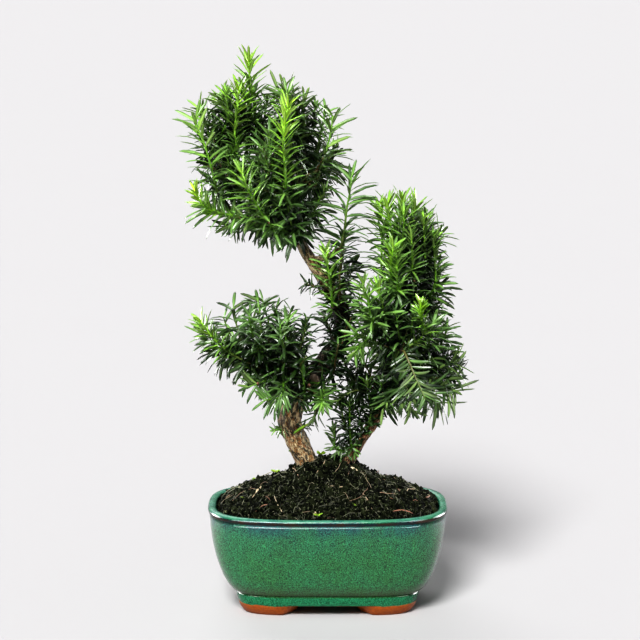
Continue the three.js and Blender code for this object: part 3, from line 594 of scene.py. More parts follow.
def make_compost():
    """Matt black compost with grey green grains, broken by darker damp patches. Each crumb is more or less pale
    by its tone."""
    material, tree, shader = new_material("compost")
    place = object_place(tree)
    grain = mottle(tree, place, 470.0, 0.28, 0.72)
    patch = mottle(tree, place, 110.0, 0.42, 0.64)
    grains = ramp(tree, grain, [(0, (0.0002, 0.0004, 0.0001)), (0.52, (0.0012, 0.0020, 0.0007)),
                                (0.68, (0.026, 0.034, 0.014)), (0.84, (0.210, 0.235, 0.130)),
                                (1, (0.55, 0.58, 0.38))])
    colour = blend(tree, times(tree, patch, 0.30), grains, (0.0020, 0.0032, 0.0012))
    tone = add_node(tree, "Attribute", {"attribute_name": "tone"}).outputs["Fac"]
    colour = blend(tree, times(tree, tone, 0.4), colour, (0.060, 0.074, 0.032))
    relief = add_node(tree, "Bump", Strength=0.9, Distance=0.0012, Height=grain).outputs[0]
    feed(tree, shader, Base_Color=colour, Roughness=0.8, Specular_IOR_Level=0.07, Normal=relief)
    return material


compost = make_compost()
root_fibre, tree, shader = new_material("root_fibre")
tone = add_node(tree, "Attribute", {"attribute_name": "tone"}).outputs["Fac"]
fibre_colour = ramp(tree, tone, [(0, (0.014, 0.015, 0.008)), (0.25, (0.080, 0.088, 0.054)),
                                 (0.42, (0.27, 0.275, 0.18)), (0.6, (0.36, 0.30, 0.20)),
                                 (0.75, (0.32, 0.14, 0.085)), (1, (0.74, 0.62, 0.42))])
feed(tree, shader, Base_Color=fibre_colour, Roughness=0.7)

for piece, finish in ((soil, compost), (crumbs, compost), (threads, root_fibre)):
    piece.data.materials.append(finish)
    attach(piece, "root")
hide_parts("soil")

# Trunks and branches: two live yew trunks with thin bark that flakes off in long reddish plates, the branches
# pruned back to short zigzags, and one pruned stub with its pinkish grey cut face. Each point of a trunk or a
# branch is its place and its radius.
TRUNKS = {
    "left": [
        (-3, 3, 98, 8.5), (-14, 2, 115, 9.6), (-21, 0, 132, 9.4), (-28, -4, 148, 9.6), (-33, -6, 164, 10),
        (-29, -4, 180, 9.6), (-20, 2, 193, 9.4), (-7, 8, 207, 9), (5, 10, 223, 8), (12, 8, 241, 7.4),
        (11, 4, 260, 7), (3, 0, 277, 6.2), (-9, -2, 296, 5.2), (-21, 0, 315, 4.8), (-30, 2, 337, 4.4),
        (-42, 2, 358, 4), (-52, 0, 382, 3.2), (-56, 0, 403, 2.4), (-56, 0, 413, 1.7),
    ],
    "right": [
        (0, 3, 99, 7), (13, 0, 116, 5.8), (21, -2, 132, 5.2), (30, -5, 148, 4.8), (39, -6, 161, 4.7),
        (46, -4, 176, 4.6), (51, -2, 194, 4.5), (57, 0, 211, 4.3), (64, 0, 231, 4.1), (68, 0, 253, 3.6),
        (70, 0, 274, 3.1), (67, -5, 290, 2.4), (62, -12, 299, 1.7),
    ],
}
BRANCHES = [
    [(-35, 2, 347, 3.4), (-56, -4, 355, 3), (-77, -6, 369, 2.6), (-90, -6, 387, 2.2), (-97, -7, 400, 1.7)],
    [(-30, 2, 339, 3), (-51, -4, 336, 2.7), (-68, -9, 341, 2.3), (-77, -13, 344, 1.8)],
    [(-38, 1, 352, 3), (-36, -20, 361, 2.7), (-37, -42, 370, 1.9)],
    [(-47, 0, 370, 3), (-29, -4, 372, 2.7), (-14, -8, 380, 2.2), (-8, -8, 384, 1.7)],
    [(-39, 2, 353, 3), (-45, 22, 356, 2.6), (-52, 42, 360, 1.9)],
    [(-53, 0, 385, 2.6), (-41, -3, 399, 2.3), (-32, -6, 413, 1.8)],
    [(-14, -1, 304, 2.8), (0, -12, 309, 2.4), (11, -23, 318, 1.8)],
    [(-27, -4, 184, 4.4), (-39, -6, 200, 3.8), (-56, -8, 211, 3.2), (-70, -12, 218, 2.6), (-77, -17, 221, 1.9)],
    [(-42, -6, 203, 2.8), (-47, 9, 205, 2.5), (-54, 22, 206, 1.8)],
    [(-23, 0, 189, 3), (-26, -14, 203, 2.6), (-34, -30, 217, 1.8)],
    [(58, 0, 215, 3), (74, -4, 215, 2.6), (88, -8, 215, 1.8)],
    [(61, 0, 222, 3), (64, -22, 230, 2.6), (63, -42, 233, 1.8)],
    [(65, 0, 234, 2.8), (66, 16, 240, 2.4), (67, 30, 248, 1.8)],
    [(68, 0, 262, 2.6), (79, -2, 264, 2.2), (85, -5, 267, 1.7)],
    [(64, 0, 231, 2.8), (57, -12, 244, 2.4), (51, -22, 257, 1.7)],
    [(50, -2, 192, 2.6), (41, -4, 191, 2.2), (33, -5, 194, 1.7)],
    [(11, 5, 252, 2.8), (8, -8, 260, 2.4), (4, -20, 267, 1.8)],
    [(3, 0, 277, 2.4), (-5, -9, 277, 1.7)],
    [(12, 8, 245, 2.6), (11, 21, 246, 1.8)],
]
PRUNED_STUB = [(-5, 6, 204, 4.8), (-12, -9, 201, 4.5)]
# How each kind of limb is made: its sides, the step along it and how rough its bark is
TRUNK_BUILD = (56, 0.9, 0.13)
BRANCH_BUILD = (16, 1.4, 0.16)
STUB_BUILD = (28, 1.0, 0.08)
GRAIN_ROUND = 9.0
GRAIN_ALONG = 0.45
# In metres: the middle of the cut face and its edge, how far right the bark turns redder, the height that moss
# reaches, and the heights of a band of painted shade, where the bark is painted near black for the crown's
# shadow
CUT_FACE = (-0.012, -0.009, 0.201)
CUT_EDGE = (0.0050, 0.0043)
YOUNG_BARK = (0.006, 0.012)
MOSSY_BARK = (0.165, 0.125)
PAINTED_SHADE_HEIGHTS = (0.190, 0.206, 0.264, 0.280)


def eased(points, step):
    """A smooth line through points of any width, one every step millimetres: Catmull-Rom, in which each stretch
    leaves and enters along the line between its neighbours."""
    points = np.asarray(points, dtype=float)
    padded = np.concatenate([2 * points[:1] - points[1:2], points, 2 * points[-1:] - points[-2:-1]])
    spans = np.linalg.norm(np.diff(points[:, :3], axis=0), axis=1)
    count = max(int(spans.sum() / step), 4)
    passed = np.concatenate([[0], np.cumsum(spans)])
    place = np.interp(np.linspace(0, spans.sum(), count), passed, np.arange(len(points)))
    i = np.minimum(place.astype(int), len(points) - 2)
    t = (place - i)[:, None]
    p0, p1, p2, p3 = padded[i], padded[i + 1], padded[i + 2], padded[i + 3]
    curve = 2 * p1 + (p2 - p0) * t + (2 * p0 - 5 * p1 + 4 * p2 - p3) * t**2 + (3 * p1 - p0 - 3 * p2 + p3) * t**3
    return 0.5 * curve


def limb(points, sides, step, roughness):
    """Rings of a tube along a smooth line, and the way along it: the radius is multiplied by one plus a noise
    whose cells are three times as long as they are wide, which raises long plates."""
    line = eased(points, step)
    rings = tubes(line[None, :, :3], line[None, :, 3], sides)[0]
    spokes = rings - line[:, None, :3]
    stretched = rings * np.array([1, 1, 0.34])
    plates = 0.6 * cloud(stretched, 4.2, 4) + 0.45 * np.abs(cloud(stretched, 2.0, 5))
    plates = plates + 0.25 * cloud(rings, 1.1, 6)
    rings = line[:, None, :3] + spokes * (1 + roughness * plates)[:, :, None]
    grown = np.linalg.norm(np.diff(line[:, :3], axis=0), axis=1)
    along = np.concatenate([[0], np.cumsum(grown)])
    return rings, along


limb_lines = [(line, TRUNK_BUILD) for line in TRUNKS.values()]
limb_lines += [(line, BRANCH_BUILD) for line in BRANCHES] + [(PRUNED_STUB, STUB_BUILD)]
limb_parts, limb_grain = [], []
for line, (sides, step, roughness) in limb_lines:
    rings, along = limb(line, sides, step, roughness)
    limb_parts.append(capped_tube(rings))
    around = np.arange(sides) / sides * 2 * np.pi
    grain = np.stack(np.broadcast_arrays(
        np.cos(around) * GRAIN_ROUND, np.sin(around) * GRAIN_ROUND, along[:, None] * GRAIN_ALONG), axis=-1)
    grain = grain.reshape(-1, 3)
    limb_grain.append(np.concatenate([grain, grain[:1], grain[-1:]]) + len(limb_grain) * 50)

wood = mesh_piece("bark_trunks", *joined(limb_parts))
mark(wood, "grain", np.concatenate(limb_grain), "FLOAT_VECTOR", field="vector")


def make_bark():
    """Flaking yew bark: tan and grey plates over reddish underbark, with near black gaps where plates have
    dropped. The younger right trunk is redder and moss grows low down. The middle is painted near black as
    painted shade, for the crown's shadow over it. The pattern follows the grain attribute, which runs along
    each limb. The stub's cut face is pinkish wood."""
    material, tree, shader = new_material("bark")
    grain = add_node(tree, "Attribute", {"attribute_name": "grain"}).outputs["Vector"]
    turned_grain = add_node(tree, "Mapping", Vector=grain, Location=(13.0, 7.0, 31.0)).outputs["Vector"]
    fine = mottle(tree, grain, 1.5, 0.36, 0.66)
    broad = mottle(tree, grain, 0.12, 0.44, 0.58)
    plates = mottle(tree, grain, 0.38, 0.44, 0.53)
    gaps = mottle(tree, turned_grain, 0.42, 0.49, 0.55)
    under = blend(tree, fine, (0.130, 0.066, 0.022), (0.52, 0.280, 0.095))
    under = blend(tree, times(tree, broad, 0.4), under, (0.42, 0.150, 0.045))
    plate = blend(tree, fine, (0.48, 0.340, 0.165), (0.95, 0.79, 0.50))
    colour = blend(tree, plates, under, plate)
    sideways = add_node(tree, "SeparateXYZ", Vector=object_place(tree)).outputs["X"]
    young = times(tree, within(tree, sideways, *YOUNG_BARK), 0.55)
    colour = blend(tree, young, colour, blend(tree, fine, (0.20, 0.060, 0.022), (0.62, 0.250, 0.120)))
    colour = blend(tree, times(tree, gaps, 0.88), colour, (0.010, 0.006, 0.003))
    height = height_of(tree)
    moss = mottle(tree, object_place(tree), 160.0, 0.54, 0.62)
    moss = times(tree, moss, within(tree, height, *MOSSY_BARK))
    colour = blend(tree, times(tree, moss, 0.6), colour, (0.085, 0.135, 0.018))
    # Painted shade: between these heights the bark is painted near black, for the shadow the crown casts on it
    painted_shade = times(tree, between(tree, height, PAINTED_SHADE_HEIGHTS), 0.88)
    colour = blend(tree, painted_shade, colour, (0.008, 0.0075, 0.005))
    from_cut = add_node(tree, "VectorMath", {"operation": "DISTANCE"}, in_0=object_place(tree), in_1=CUT_FACE)
    cut = within(tree, from_cut.outputs["Value"], *CUT_EDGE)
    colour = blend(tree, cut, colour, blend(tree, fine, (0.60, 0.38, 0.28), (1.0, 0.80, 0.66)))
    depth = maths(tree, "SUBTRACT", plus(tree, plates, times(tree, fine, 0.5)), gaps)
    relief = add_node(tree, "Bump", Strength=0.8, Distance=0.0010, Height=depth).outputs[0]
    feed(tree, shader, Base_Color=colour, Roughness=0.82, Normal=relief)
    return material


wood.data.materials.append(make_bark())
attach(wood, "root")
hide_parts("trunks_and_branches")

# Shoots and needles: green shoots grow from the branches, each set all round with flat soft needles, in two
# ranks on the hanging ones. This year's growth is a bright yellow green, the rest dark.
SPRAY_COUNTS = {"crown": 17, "middle": 8, "right": 17, "pad": 11}
OPENNESS = {"crown": 1.06, "middle": 1.10, "right": 1.0, "pad": 1.28}
ADDED_AGE = {"crown": 0.0, "middle": 0.05, "right": 0.0, "pad": 0.13}
# The branches, by number, that also carry short old shoots along their wood
LEAFY_BRANCHES = {"crown": range(0, 6), "pad": range(7, 10), "right": range(10, 16)}
# A shoot is its line, the age of its tip and foot (0 new, 1 old), the share of its needles in two ranks and the
# length of its needles. One on the far side of the tree is given by its ends and its number of side shoots.
SHOOTS = {
    "crown": [
        ([(-59, -3, 410), (-62, -3, 434), (-66, -3, 455), (-67, -3, 479)], 0.14, 0.85, 0, 20),
        ([(-78, -20, 401), (-79, -20, 418), (-76, -22, 437), (-75, -22, 454)], 0.12, 0.6, 0, 19),
        ([(-79, 14, 404), (-85, 10, 429), (-91, 8, 442)], 0.25, 0.6, 0, 17),
        ([(-66, -8, 432), (-69, -8, 446), (-72, -8, 454)], 0.3, 0.5, 0, 17),
        ([(-98, -6, 398), (-103, -6, 422), (-109, -6, 435)], 0.35, 0.65, 0, 21),
        ([(-94, 2, 411), (-98, -4, 429)], 0.5, 0.8, 0, 15),
        ([(-93, -18, 365), (-98, -24, 385), (-103, -28, 405),
          (-109, -28, 420), (-112, -28, 428)], 0.35, 0.8, 0.1, 24),
        ([(-89, 8, 374), (-93, 14, 396), (-95, 15, 409)], 0.65, 0.9, 0, 20),
        ([(-61, -8, 337), (-78, -14, 343), (-97, -20, 349), (-105, -23, 355)], 0.5, 0.75, 0.6, 23),
        ([(-97, -20, 349), (-107, -24, 357), (-112, -26, 367)], 0.1, 0.4, 0, 15),
        ([(-46, -30, 336), (-55, -44, 350), (-63, -52, 365),
          (-69, -58, 378), (-71, -60, 387)], 0.28, 0.75, 0, 22),
        ([(-43, -38, 357), (-49, -48, 386), (-55, -54, 407)], 0.6, 0.85, 0, 23),
        ([(-35, -48, 369), (-36, -52, 393), (-37, -55, 414),
          (-35, -56, 432), (-33, -57, 443)], 0.06, 0.55, 0, 19),
        ([(-30, -14, 413), (-34, -18, 438), (-35, -22, 451)], 0.45, 0.75, 0, 20),
        ([(-21, -5, 410), (-21, 0, 430), (-20, 5, 444)], 0.35, 0.65, 0, 15),
        ([(-13, 8, 415), (-11, 8, 436)], 0.5, 0.75, 0, 14),
        ([(-12, -12, 366), (-5, -12, 388), (0, -12, 405), (3, -12, 419), (4, -12, 430)], 0.45, 0.95, 0.2, 23),
        ([(-8, 0, 404), (-4, 0, 423), (-2, 0, 432)], 0.55, 0.85, 0, 18),
        ([(-14, -18, 345), (-8, -20, 358), (-1, -20, 369)], 0.5, 0.8, 0, 12),
        ([(-31, -10, 330), (-47, -22, 338), (-64, -28, 344), (-74, -32, 347)], 0.55, 0.78, 0.7, 19),
        ([(-31, -14, 331), (-38, -26, 334), (-43, -32, 336)], 0.6, 0.8, 0.3, 15),
        ([(-29, -20, 330), (-33, -36, 351), (-35, -46, 367)], 0.6, 0.8, 0, 22),
        ([(-24, -10, 330), (-23, -24, 351), (-25, -30, 369), (-26, -32, 384)], 0.75, 0.9, 0, 21),
        ([(-20, 5, 329), (-14, 5, 350), (-9, 2, 366)], 0.8, 0.95, 0, 22),
        ([(-56, 0, 335), (-70, -14, 361), (-81, -22, 383), (-86, -25, 400)], 0.6, 0.9, 0, 23),
        ([(-62, 10, 341), (-76, 10, 367), (-86, 12, 384)], 0.8, 0.95, 0, 22),
        ([(-47, -20, 343), (-55, -34, 371), (-59, -40, 392)], 0.6, 0.9, 0, 25),
        ([(-44, -8, 347), (-46, -24, 380), (-49, -34, 403), (-49, -38, 419)], 0.6, 0.9, 0, 24),
        ([(-36, 10, 341), (-40, 0, 373), (-44, -5, 400), (-47, -8, 419)], 0.75, 0.95, 0, 23),
        ([(-27, 20, 339), (-23, 20, 371), (-20, 18, 395), (-17, 15, 408)], 0.75, 0.95, 0, 23),
        ([(-69, -2, 418), (-66, -2, 435), (-64, -2, 449)], 0.4, 0.7, 0, 24),
        ([(-56, 0, 418), (-53, 0, 432), (-51, 0, 442)], 0.55, 0.8, 0, 19),
        ([(-84, -14, 428), (-86, -14, 441), (-86, -14, 450)], 0.3, 0.55, 0, 15),
        ([(-76, -10, 409), (-94, 16, 450)], 0.4, 0.8, 0, 20, 4),
        ([(-28, -8, 418), (-39, 10, 459)], 0.4, 0.8, 0, 20, 3),
        ([(-48, 45, 367), (-24, 52, 422)], 0.4, 0.8, 0, 20, 5),
        ([(-48, 45, 367), (-68, 52, 432)], 0.4, 0.8, 0, 20, 5),
        ([(-76, 24, 362), (-104, 46, 399)], 0.65, 0.9, 0.2, 20, 4),
        ([(-76, 24, 366), (-96, 54, 374)], 0.65, 0.9, 0.2, 20, 3),
        ([(-12, 12, 374), (14, 36, 400)], 0.65, 0.9, 0.2, 20, 3),
        ([(-50, 47, 354), (-24, 73, 366)], 0.65, 0.9, 0, 20, 3),
        ([(-50, 47, 354), (-70, 73, 378)], 0.65, 0.9, 0, 20, 3),
        ([(-28, 20, 340), (-10, 52, 352)], 0.65, 0.9, 0.4, 20, 3),
        ([(-48, 30, 338), (-62, 60, 336)], 0.65, 0.9, 0.5, 20, 3),
    ],
    "middle": [
        ([(10, -14, 268), (10, -18, 293), (12, -22, 316), (14, -26, 334)], 0.8, 0.95, 0.2, 17),
        ([(14, -26, 334), (16, -28, 353), (19, -30, 370), (20, -31, 381)], 0.55, 0.8, 0.2, 27),
        ([(4, -18, 262), (3, -23, 282), (0, -27, 302), (-2, -30, 317)], 0.26, 0.5, 0, 18),
        ([(-8, -8, 281), (-14, -12, 284), (-20, -15, 286)], 0.85, 0.95, 0, 12),
        ([(11, -4, 228), (16, -10, 245), (20, -12, 256)], 0.95, 1, 0, 18),
        ([(7, 0, 232), (0, -6, 249), (-4, -8, 258)], 0.85, 1, 0, 18),
        ([(9, 4, 242), (8, 2, 257), (11, 0, 271)], 0.9, 1, 0, 18),
        ([(-4, -14, 198), (-5, -36, 192), (-5, -52, 189)], 0.42, 0.62, 0, 14),
        ([(7, -13, 141), (6, -16, 151), (5, -17, 160)], 0.4, 0.6, 0, 11),
        ([(4, -8, 206), (7, -20, 223), (9, -26, 236)], 0.9, 1, 0, 15),
        ([(9, 8, 284), (12, 10, 299), (14, 12, 313)], 0.9, 1, 0.2, 20),
        ([(21, 4, 189), (25, 2, 204), (26, 0, 215)], 0.9, 1, 0, 18),
        ([(19, 4, 201), (15, 2, 212), (13, 0, 220)], 0.9, 1, 0, 16),
        ([(-5, -34, 188), (-10, -38, 179), (-13, -40, 172)], 0.8, 0.9, 0, 17),
        ([(11, 7, 280), (26, 24, 304)], 0.65, 0.9, 0.2, 20, 2),
        ([(11, 22, 246), (10, 42, 264)], 0.65, 0.9, 0, 20, 3),
    ],
    "pad": [
        ([(-57, -15, 212), (-70, -20, 219), (-85, -24, 228),
          (-95, -27, 238), (-101, -28, 246)], 0.64, 0.9, 0.5, 22),
        ([(-95, -27, 238), (-103, -29, 248), (-109, -29, 257)], 0.1, 0.4, 0, 16),
        ([(-74, -8, 222), (-76, -9, 239), (-80, -9, 255), (-81, -9, 266)], 0.65, 0.95, 0.4, 24),
        ([(-57, -18, 225), (-57, -19, 242), (-58, -20, 260), (-60, -20, 274)], 0.55, 0.9, 0.1, 20),
        ([(-41, -7, 223), (-42, -8, 240), (-44, -8, 255), (-44, -8, 266)], 0.55, 0.85, 0, 16),
        ([(-59, -26, 229), (-64, -40, 247), (-66, -52, 261), (-66, -56, 267)], 0.55, 0.8, 0, 16),
        ([(-36, -30, 216), (-37, -42, 235), (-40, -52, 249), (-40, -56, 258)], 0.55, 0.8, 0, 16),
        ([(-25, -24, 228), (-19, -30, 250), (-18, -32, 260)], 0.7, 0.85, 0, 12),
        ([(-20, -24, 191), (-21, -28, 206), (-23, -30, 221), (-24, -30, 230)], 0.4, 0.55, 0, 11),
        ([(-55, -16, 207), (-66, -18, 212), (-75, -20, 218)], 0.6, 0.75, 0.6, 22),
        ([(-53, -20, 203), (-62, -24, 200), (-68, -26, 198)], 0.5, 0.68, 0.5, 19),
        ([(-35, -16, 188), (-43, -24, 188), (-50, -30, 188), (-55, -34, 188)], 0.5, 0.68, 0.5, 18),
        ([(-37, -18, 204), (-38, -36, 198), (-40, -47, 194)], 0.45, 0.65, 0, 17),
        ([(-33, -18, 190), (-26, -28, 189), (-21, -34, 188)], 0.85, 0.95, 0, 15),
        ([(-37, -11, 158), (-42, -14, 157), (-46, -16, 158)], 0.35, 0.5, 0, 8),
        ([(-22, -12, 159), (-16, -14, 162)], 0.95, 1, 0, 8),
        ([(-51, -14, 209), (-55, -28, 227), (-60, -36, 240)], 0.55, 0.85, 0, 14),
        ([(-47, -8, 206), (-49, -20, 227), (-51, -26, 242)], 0.8, 0.95, 0, 19),
        ([(-36, -4, 205), (-33, -12, 224), (-31, -15, 239)], 0.7, 0.9, 0, 19),
        ([(-36, -20, 240), (-35, -24, 252), (-34, -26, 258)], 0.45, 0.65, 0, 17),
        ([(-42, -4, 187), (-41, -20, 206), (-43, -28, 215)], 0.5, 0.75, 0, 19),
        ([(-50, -6, 242), (-53, -6, 258), (-56, -6, 270)], 0.55, 0.85, 0.1, 18),
        ([(-79, -6, 231), (-86, -6, 244), (-90, -6, 255)], 0.65, 0.9, 0.4, 24),
        ([(-27, -8, 225), (-23, -8, 237), (-20, -8, 248)], 0.75, 0.9, 0, 15),
        ([(-38, -6, 242), (-34, -6, 253), (-32, -6, 261)], 0.65, 0.85, 0, 15),
        ([(-104, -20, 238), (-109, -22, 247)], 0.3, 0.6, 0, 16),
        ([(-56, 25, 208), (-71, 48, 248)], 0.4, 0.8, 0.1, 20, 3),
        ([(-56, 25, 208), (-101, 46, 221)], 0.4, 0.8, 0.1, 20, 3),
        ([(-49, 25, 203), (-30, 58, 232)], 0.65, 0.9, 0.3, 20, 2),
        ([(-49, 25, 206), (-62, 50, 186)], 0.65, 0.9, 0.3, 20, 3),
    ],
    "right": [
        ([(59, -14, 270), (60, -16, 293), (61, -17, 315), (62, -18, 337),
          (63, -18, 353), (63, -18, 359)], 0.22, 0.55, 0, 19),
        ([(58, 0, 295), (54, 0, 315), (50, 4, 329), (46, 6, 340), (44, 6, 350)], 0.3, 0.8, 0.2, 20),
        ([(56, -30, 281), (53, -38, 299), (54, -44, 315), (55, -47, 324)], 0.22, 0.45, 0, 19),
        ([(76, 4, 288), (78, 6, 307), (80, 8, 324), (82, 9, 334)], 0.25, 0.5, 0, 17),
        ([(67, -10, 302), (68, -12, 322), (70, -12, 335)], 0.25, 0.45, 0, 17),
        ([(85, 0, 297), (88, 0, 313), (89, 0, 324)], 0.3, 0.5, 0, 14),
        ([(88, -5, 258), (91, -7, 277), (93, -8, 289), (95, -8, 299)], 0.5, 0.9, 0.3, 19),
        ([(86, -5, 253), (91, -8, 263), (95, -10, 268)], 0.8, 0.9, 0, 12),
        ([(82, -40, 247), (79, -46, 261), (78, -50, 270), (78, -52, 276)], 0.1, 0.35, 0, 12),
        ([(38, -48, 259), (34, -54, 277), (30, -56, 290), (29, -56, 295)], 0.38, 0.65, 0, 17),
        ([(48, -44, 265), (44, -50, 280), (42, -52, 290)], 0.3, 0.55, 0, 17),
        ([(47, -20, 254), (37, -25, 262), (27, -28, 269)], 0.55, 0.85, 0, 17),
        ([(52, -24, 232), (39, -34, 240), (28, -40, 246), (23, -43, 248)], 0.5, 0.8, 0, 19),
        ([(31, -38, 240), (25, -46, 236), (23, -50, 231)], 0.5, 0.65, 0, 17),
        ([(33, -7, 190), (24, -12, 192), (16, -16, 189), (8, -20, 184)], 0.7, 0.85, 0.3, 14),
        ([(21, -11, 141), (19, -16, 160), (19, -19, 178), (19, -20, 184)], 0.35, 0.5, 0, 11),
        ([(39, -7, 161), (37, -12, 178), (35, -16, 192), (34, -18, 201)], 0.3, 0.5, 0, 12),
        ([(44, -8, 176), (45, -20, 192), (47, -26, 203)], 0.42, 0.6, 0, 12),
        ([(64, -44, 234), (69, -52, 224), (74, -58, 213), (79, -63, 203), (82, -66, 196)], 0.74, 0.92, 0.9, 17),
        ([(64, -28, 208), (68, -38, 198), (73, -44, 191)], 0.75, 0.9, 0.6, 19),
        ([(61, -28, 201), (62, -36, 192), (63, -40, 188)], 0.7, 0.85, 0.3, 19),
        ([(55, -22, 198), (53, -30, 190), (51, -34, 186)], 0.6, 0.8, 0.3, 17),
        ([(88, -14, 205), (98, -18, 204), (107, -18, 202)], 0.8, 0.95, 0.6, 25),
        ([(81, -18, 201), (88, -24, 195), (93, -28, 191)], 0.75, 0.9, 0.6, 24),
        ([(97, -9, 229), (101, -10, 241), (103, -10, 248)], 0.6, 0.85, 0.3, 17),
        ([(93, -10, 213), (104, -14, 215), (111, -14, 216)], 0.65, 0.85, 0.4, 16),
        ([(100, -9, 220), (110, -12, 226)], 0.75, 0.9, 0, 11),
        ([(71, -28, 233), (71, -36, 249), (72, -40, 261)], 0.6, 0.8, 0, 21),
        ([(83, -24, 228), (87, -32, 244), (89, -36, 255)], 0.55, 0.8, 0, 20),
        ([(62, -34, 235), (59, -42, 254), (57, -46, 269)], 0.5, 0.75, 0, 20),
        ([(51, -28, 233), (49, -38, 254), (48, -42, 268)], 0.5, 0.75, 0, 20),
        ([(96, -16, 225), (93, -20, 241), (90, -22, 254)], 0.65, 0.85, 0, 19),
        ([(71, -16, 204), (82, -24, 216), (90, -26, 223)], 0.75, 0.9, 0.3, 20),
        ([(66, -8, 206), (78, -14, 209), (88, -16, 210)], 0.8, 0.95, 0.3, 21),
        ([(69, -10, 269), (70, -12, 288), (72, -12, 303)], 0.5, 0.8, 0, 18),
        ([(79, -4, 268), (83, -6, 285), (84, -6, 296)], 0.6, 0.85, 0, 17),
        ([(63, 10, 266), (67, 12, 288), (69, 12, 309)], 0.55, 0.85, 0, 18),
        ([(73, -20, 273), (73, -26, 287), (74, -28, 296)], 0.45, 0.7, 0, 16),
        ([(55, -16, 329), (52, -16, 345), (51, -16, 356)], 0.22, 0.5, 0, 19),
        ([(72, -14, 325), (73, -14, 341), (75, -14, 354)], 0.2, 0.5, 0, 19),
        ([(64, -28, 334), (64, -30, 350)], 0.3, 0.5, 0, 19),
        ([(48, -4, 286), (46, -4, 309), (47, -4, 333)], 0.5, 0.8, 0, 23),
        ([(86, -10, 314), (91, -10, 326)], 0.3, 0.6, 0, 16),
        ([(91, -16, 211), (102, -18, 215), (109, -18, 218)], 0.65, 0.85, 0.3, 25),
        ([(91, -18, 199), (102, -20, 196), (108, -20, 193)], 0.75, 0.9, 0.4, 26),
        ([(83, -20, 192), (93, -22, 187), (99, -22, 182)], 0.75, 0.9, 0.4, 25),
        ([(65, -24, 190), (71, -28, 182), (73, -28, 177)], 0.7, 0.85, 0.4, 20),
        ([(52, -16, 188), (48, -20, 180), (47, -20, 176)], 0.8, 0.9, 0.2, 18),
        ([(30, -8, 151), (28, -10, 165), (25, -12, 178)], 0.45, 0.65, 0, 14),
        ([(35, -10, 160), (38, -14, 173), (40, -16, 183)], 0.5, 0.65, 0, 13),
        ([(16, -12, 157), (13, -14, 170), (11, -14, 180)], 0.7, 0.85, 0, 15),
        ([(82, -18, 304), (82, -20, 325), (81, -20, 344)], 0.22, 0.5, 0, 15),
        ([(92, -16, 288), (91, -18, 309), (90, -18, 328)], 0.26, 0.55, 0, 15),
        ([(71, -30, 299), (71, -34, 318), (70, -34, 334)], 0.24, 0.5, 0, 15),
        ([(59, -40, 283), (58, -44, 303), (58, -44, 318)], 0.3, 0.5, 0, 16),
        ([(76, 4, 292), (87, 10, 348)], 0.4, 0.8, 0, 20, 4),
        ([(69, 27, 263), (55, 42, 317)], 0.65, 0.9, 0, 20, 4),
        ([(69, 27, 263), (90, 38, 310)], 0.65, 0.9, 0, 20, 5),
        ([(70, 33, 247), (82, 73, 271)], 0.4, 0.8, 0.1, 20, 4),
        ([(70, 33, 247), (103, 44, 232)], 0.4, 0.8, 0.1, 20, 3),
        ([(61, 18, 213), (95, 42, 180)], 0.65, 0.9, 0.5, 20, 4),
        ([(61, 18, 213), (44, 48, 172)], 0.65, 0.9, 0.5, 20, 4),
        ([(60, 24, 232), (36, 56, 256)], 0.65, 0.9, 0.2, 20, 3),
    ],
}
SHORTEST_SHOOT = 6.0
LONGEST_SIDE_SHOOT = 34.0
LONGEST_LINK = 26.0
TIP_NEEDLES = 9.0
SHOOT_STEPS = 9
STEM_SIDES = 6
YOUNG_TIP = 0.42
GOLDEN_ANGLE = 2.39996
UP = np.array([0.0, 0.0, 1.0])
USUAL_NEEDLE = 20.0
NEEDLE_PITCH = 1.10
PITCH_WITH_AGE = 0.18
NEEDLE_STATIONS = np.array([0, 0.07, 0.24, 0.58, 0.86, 1])
NEEDLE_WIDTHS = np.array([0.38, 0.50, 0.96, 1, 0.80, 0.12])
NEEDLE_SIDES = 4
BOX_MARGIN = 0.4
SIGHT_SLOPE = 0.187
CUT_CLEARANCE = 5.5
# How crowding darkens needles, as painted shade: the size of its cells, the crowding it starts at and how much
# age it adds
CROWD_CELL = 5.0
CROWDED_FROM = 0.44
CROWD_SHADE_DARKENING = 1.2

rng = np.random.default_rng(7)
wood_line = np.concatenate([eased(line, 2.0) for line in [*TRUNKS.values(), *BRANCHES]])


def unit(vectors):
    """Vectors of length one."""
    return vectors / (np.linalg.norm(vectors, axis=-1, keepdims=True) + 1e-9)


def bowed(base, tip, steps=SHOOT_STEPS):
    """The line of a shoot: a quadratic curve whose middle point is raised on a hanging shoot, which arches, and
    lowered on a rising one, which sweeps up."""
    base, tip = np.asarray(base, float), np.asarray(tip, float)
    level = np.hypot(*(tip - base)[:2])
    middle = (base + tip) / 2 + UP * (0.22 * level if tip[2] < base[2] else -0.12 * level)
    t = np.linspace(0, 1, steps)[:, None]
    return base * (1 - t) ** 2 + middle * 2 * t * (1 - t) + tip * t**2


shoots = []


def grow(region, line, tip_age, foot_age, flat, full):
    """Notes a shoot that is long enough to carry needles."""
    length = np.linalg.norm(np.diff(line, axis=0), axis=1).sum()
    if length > SHORTEST_SHOOT:
        shoots.append({"region": region, "line": line, "tip_age": tip_age, "foot_age": foot_age, "flat": flat,
                       "full": full, "length": length})


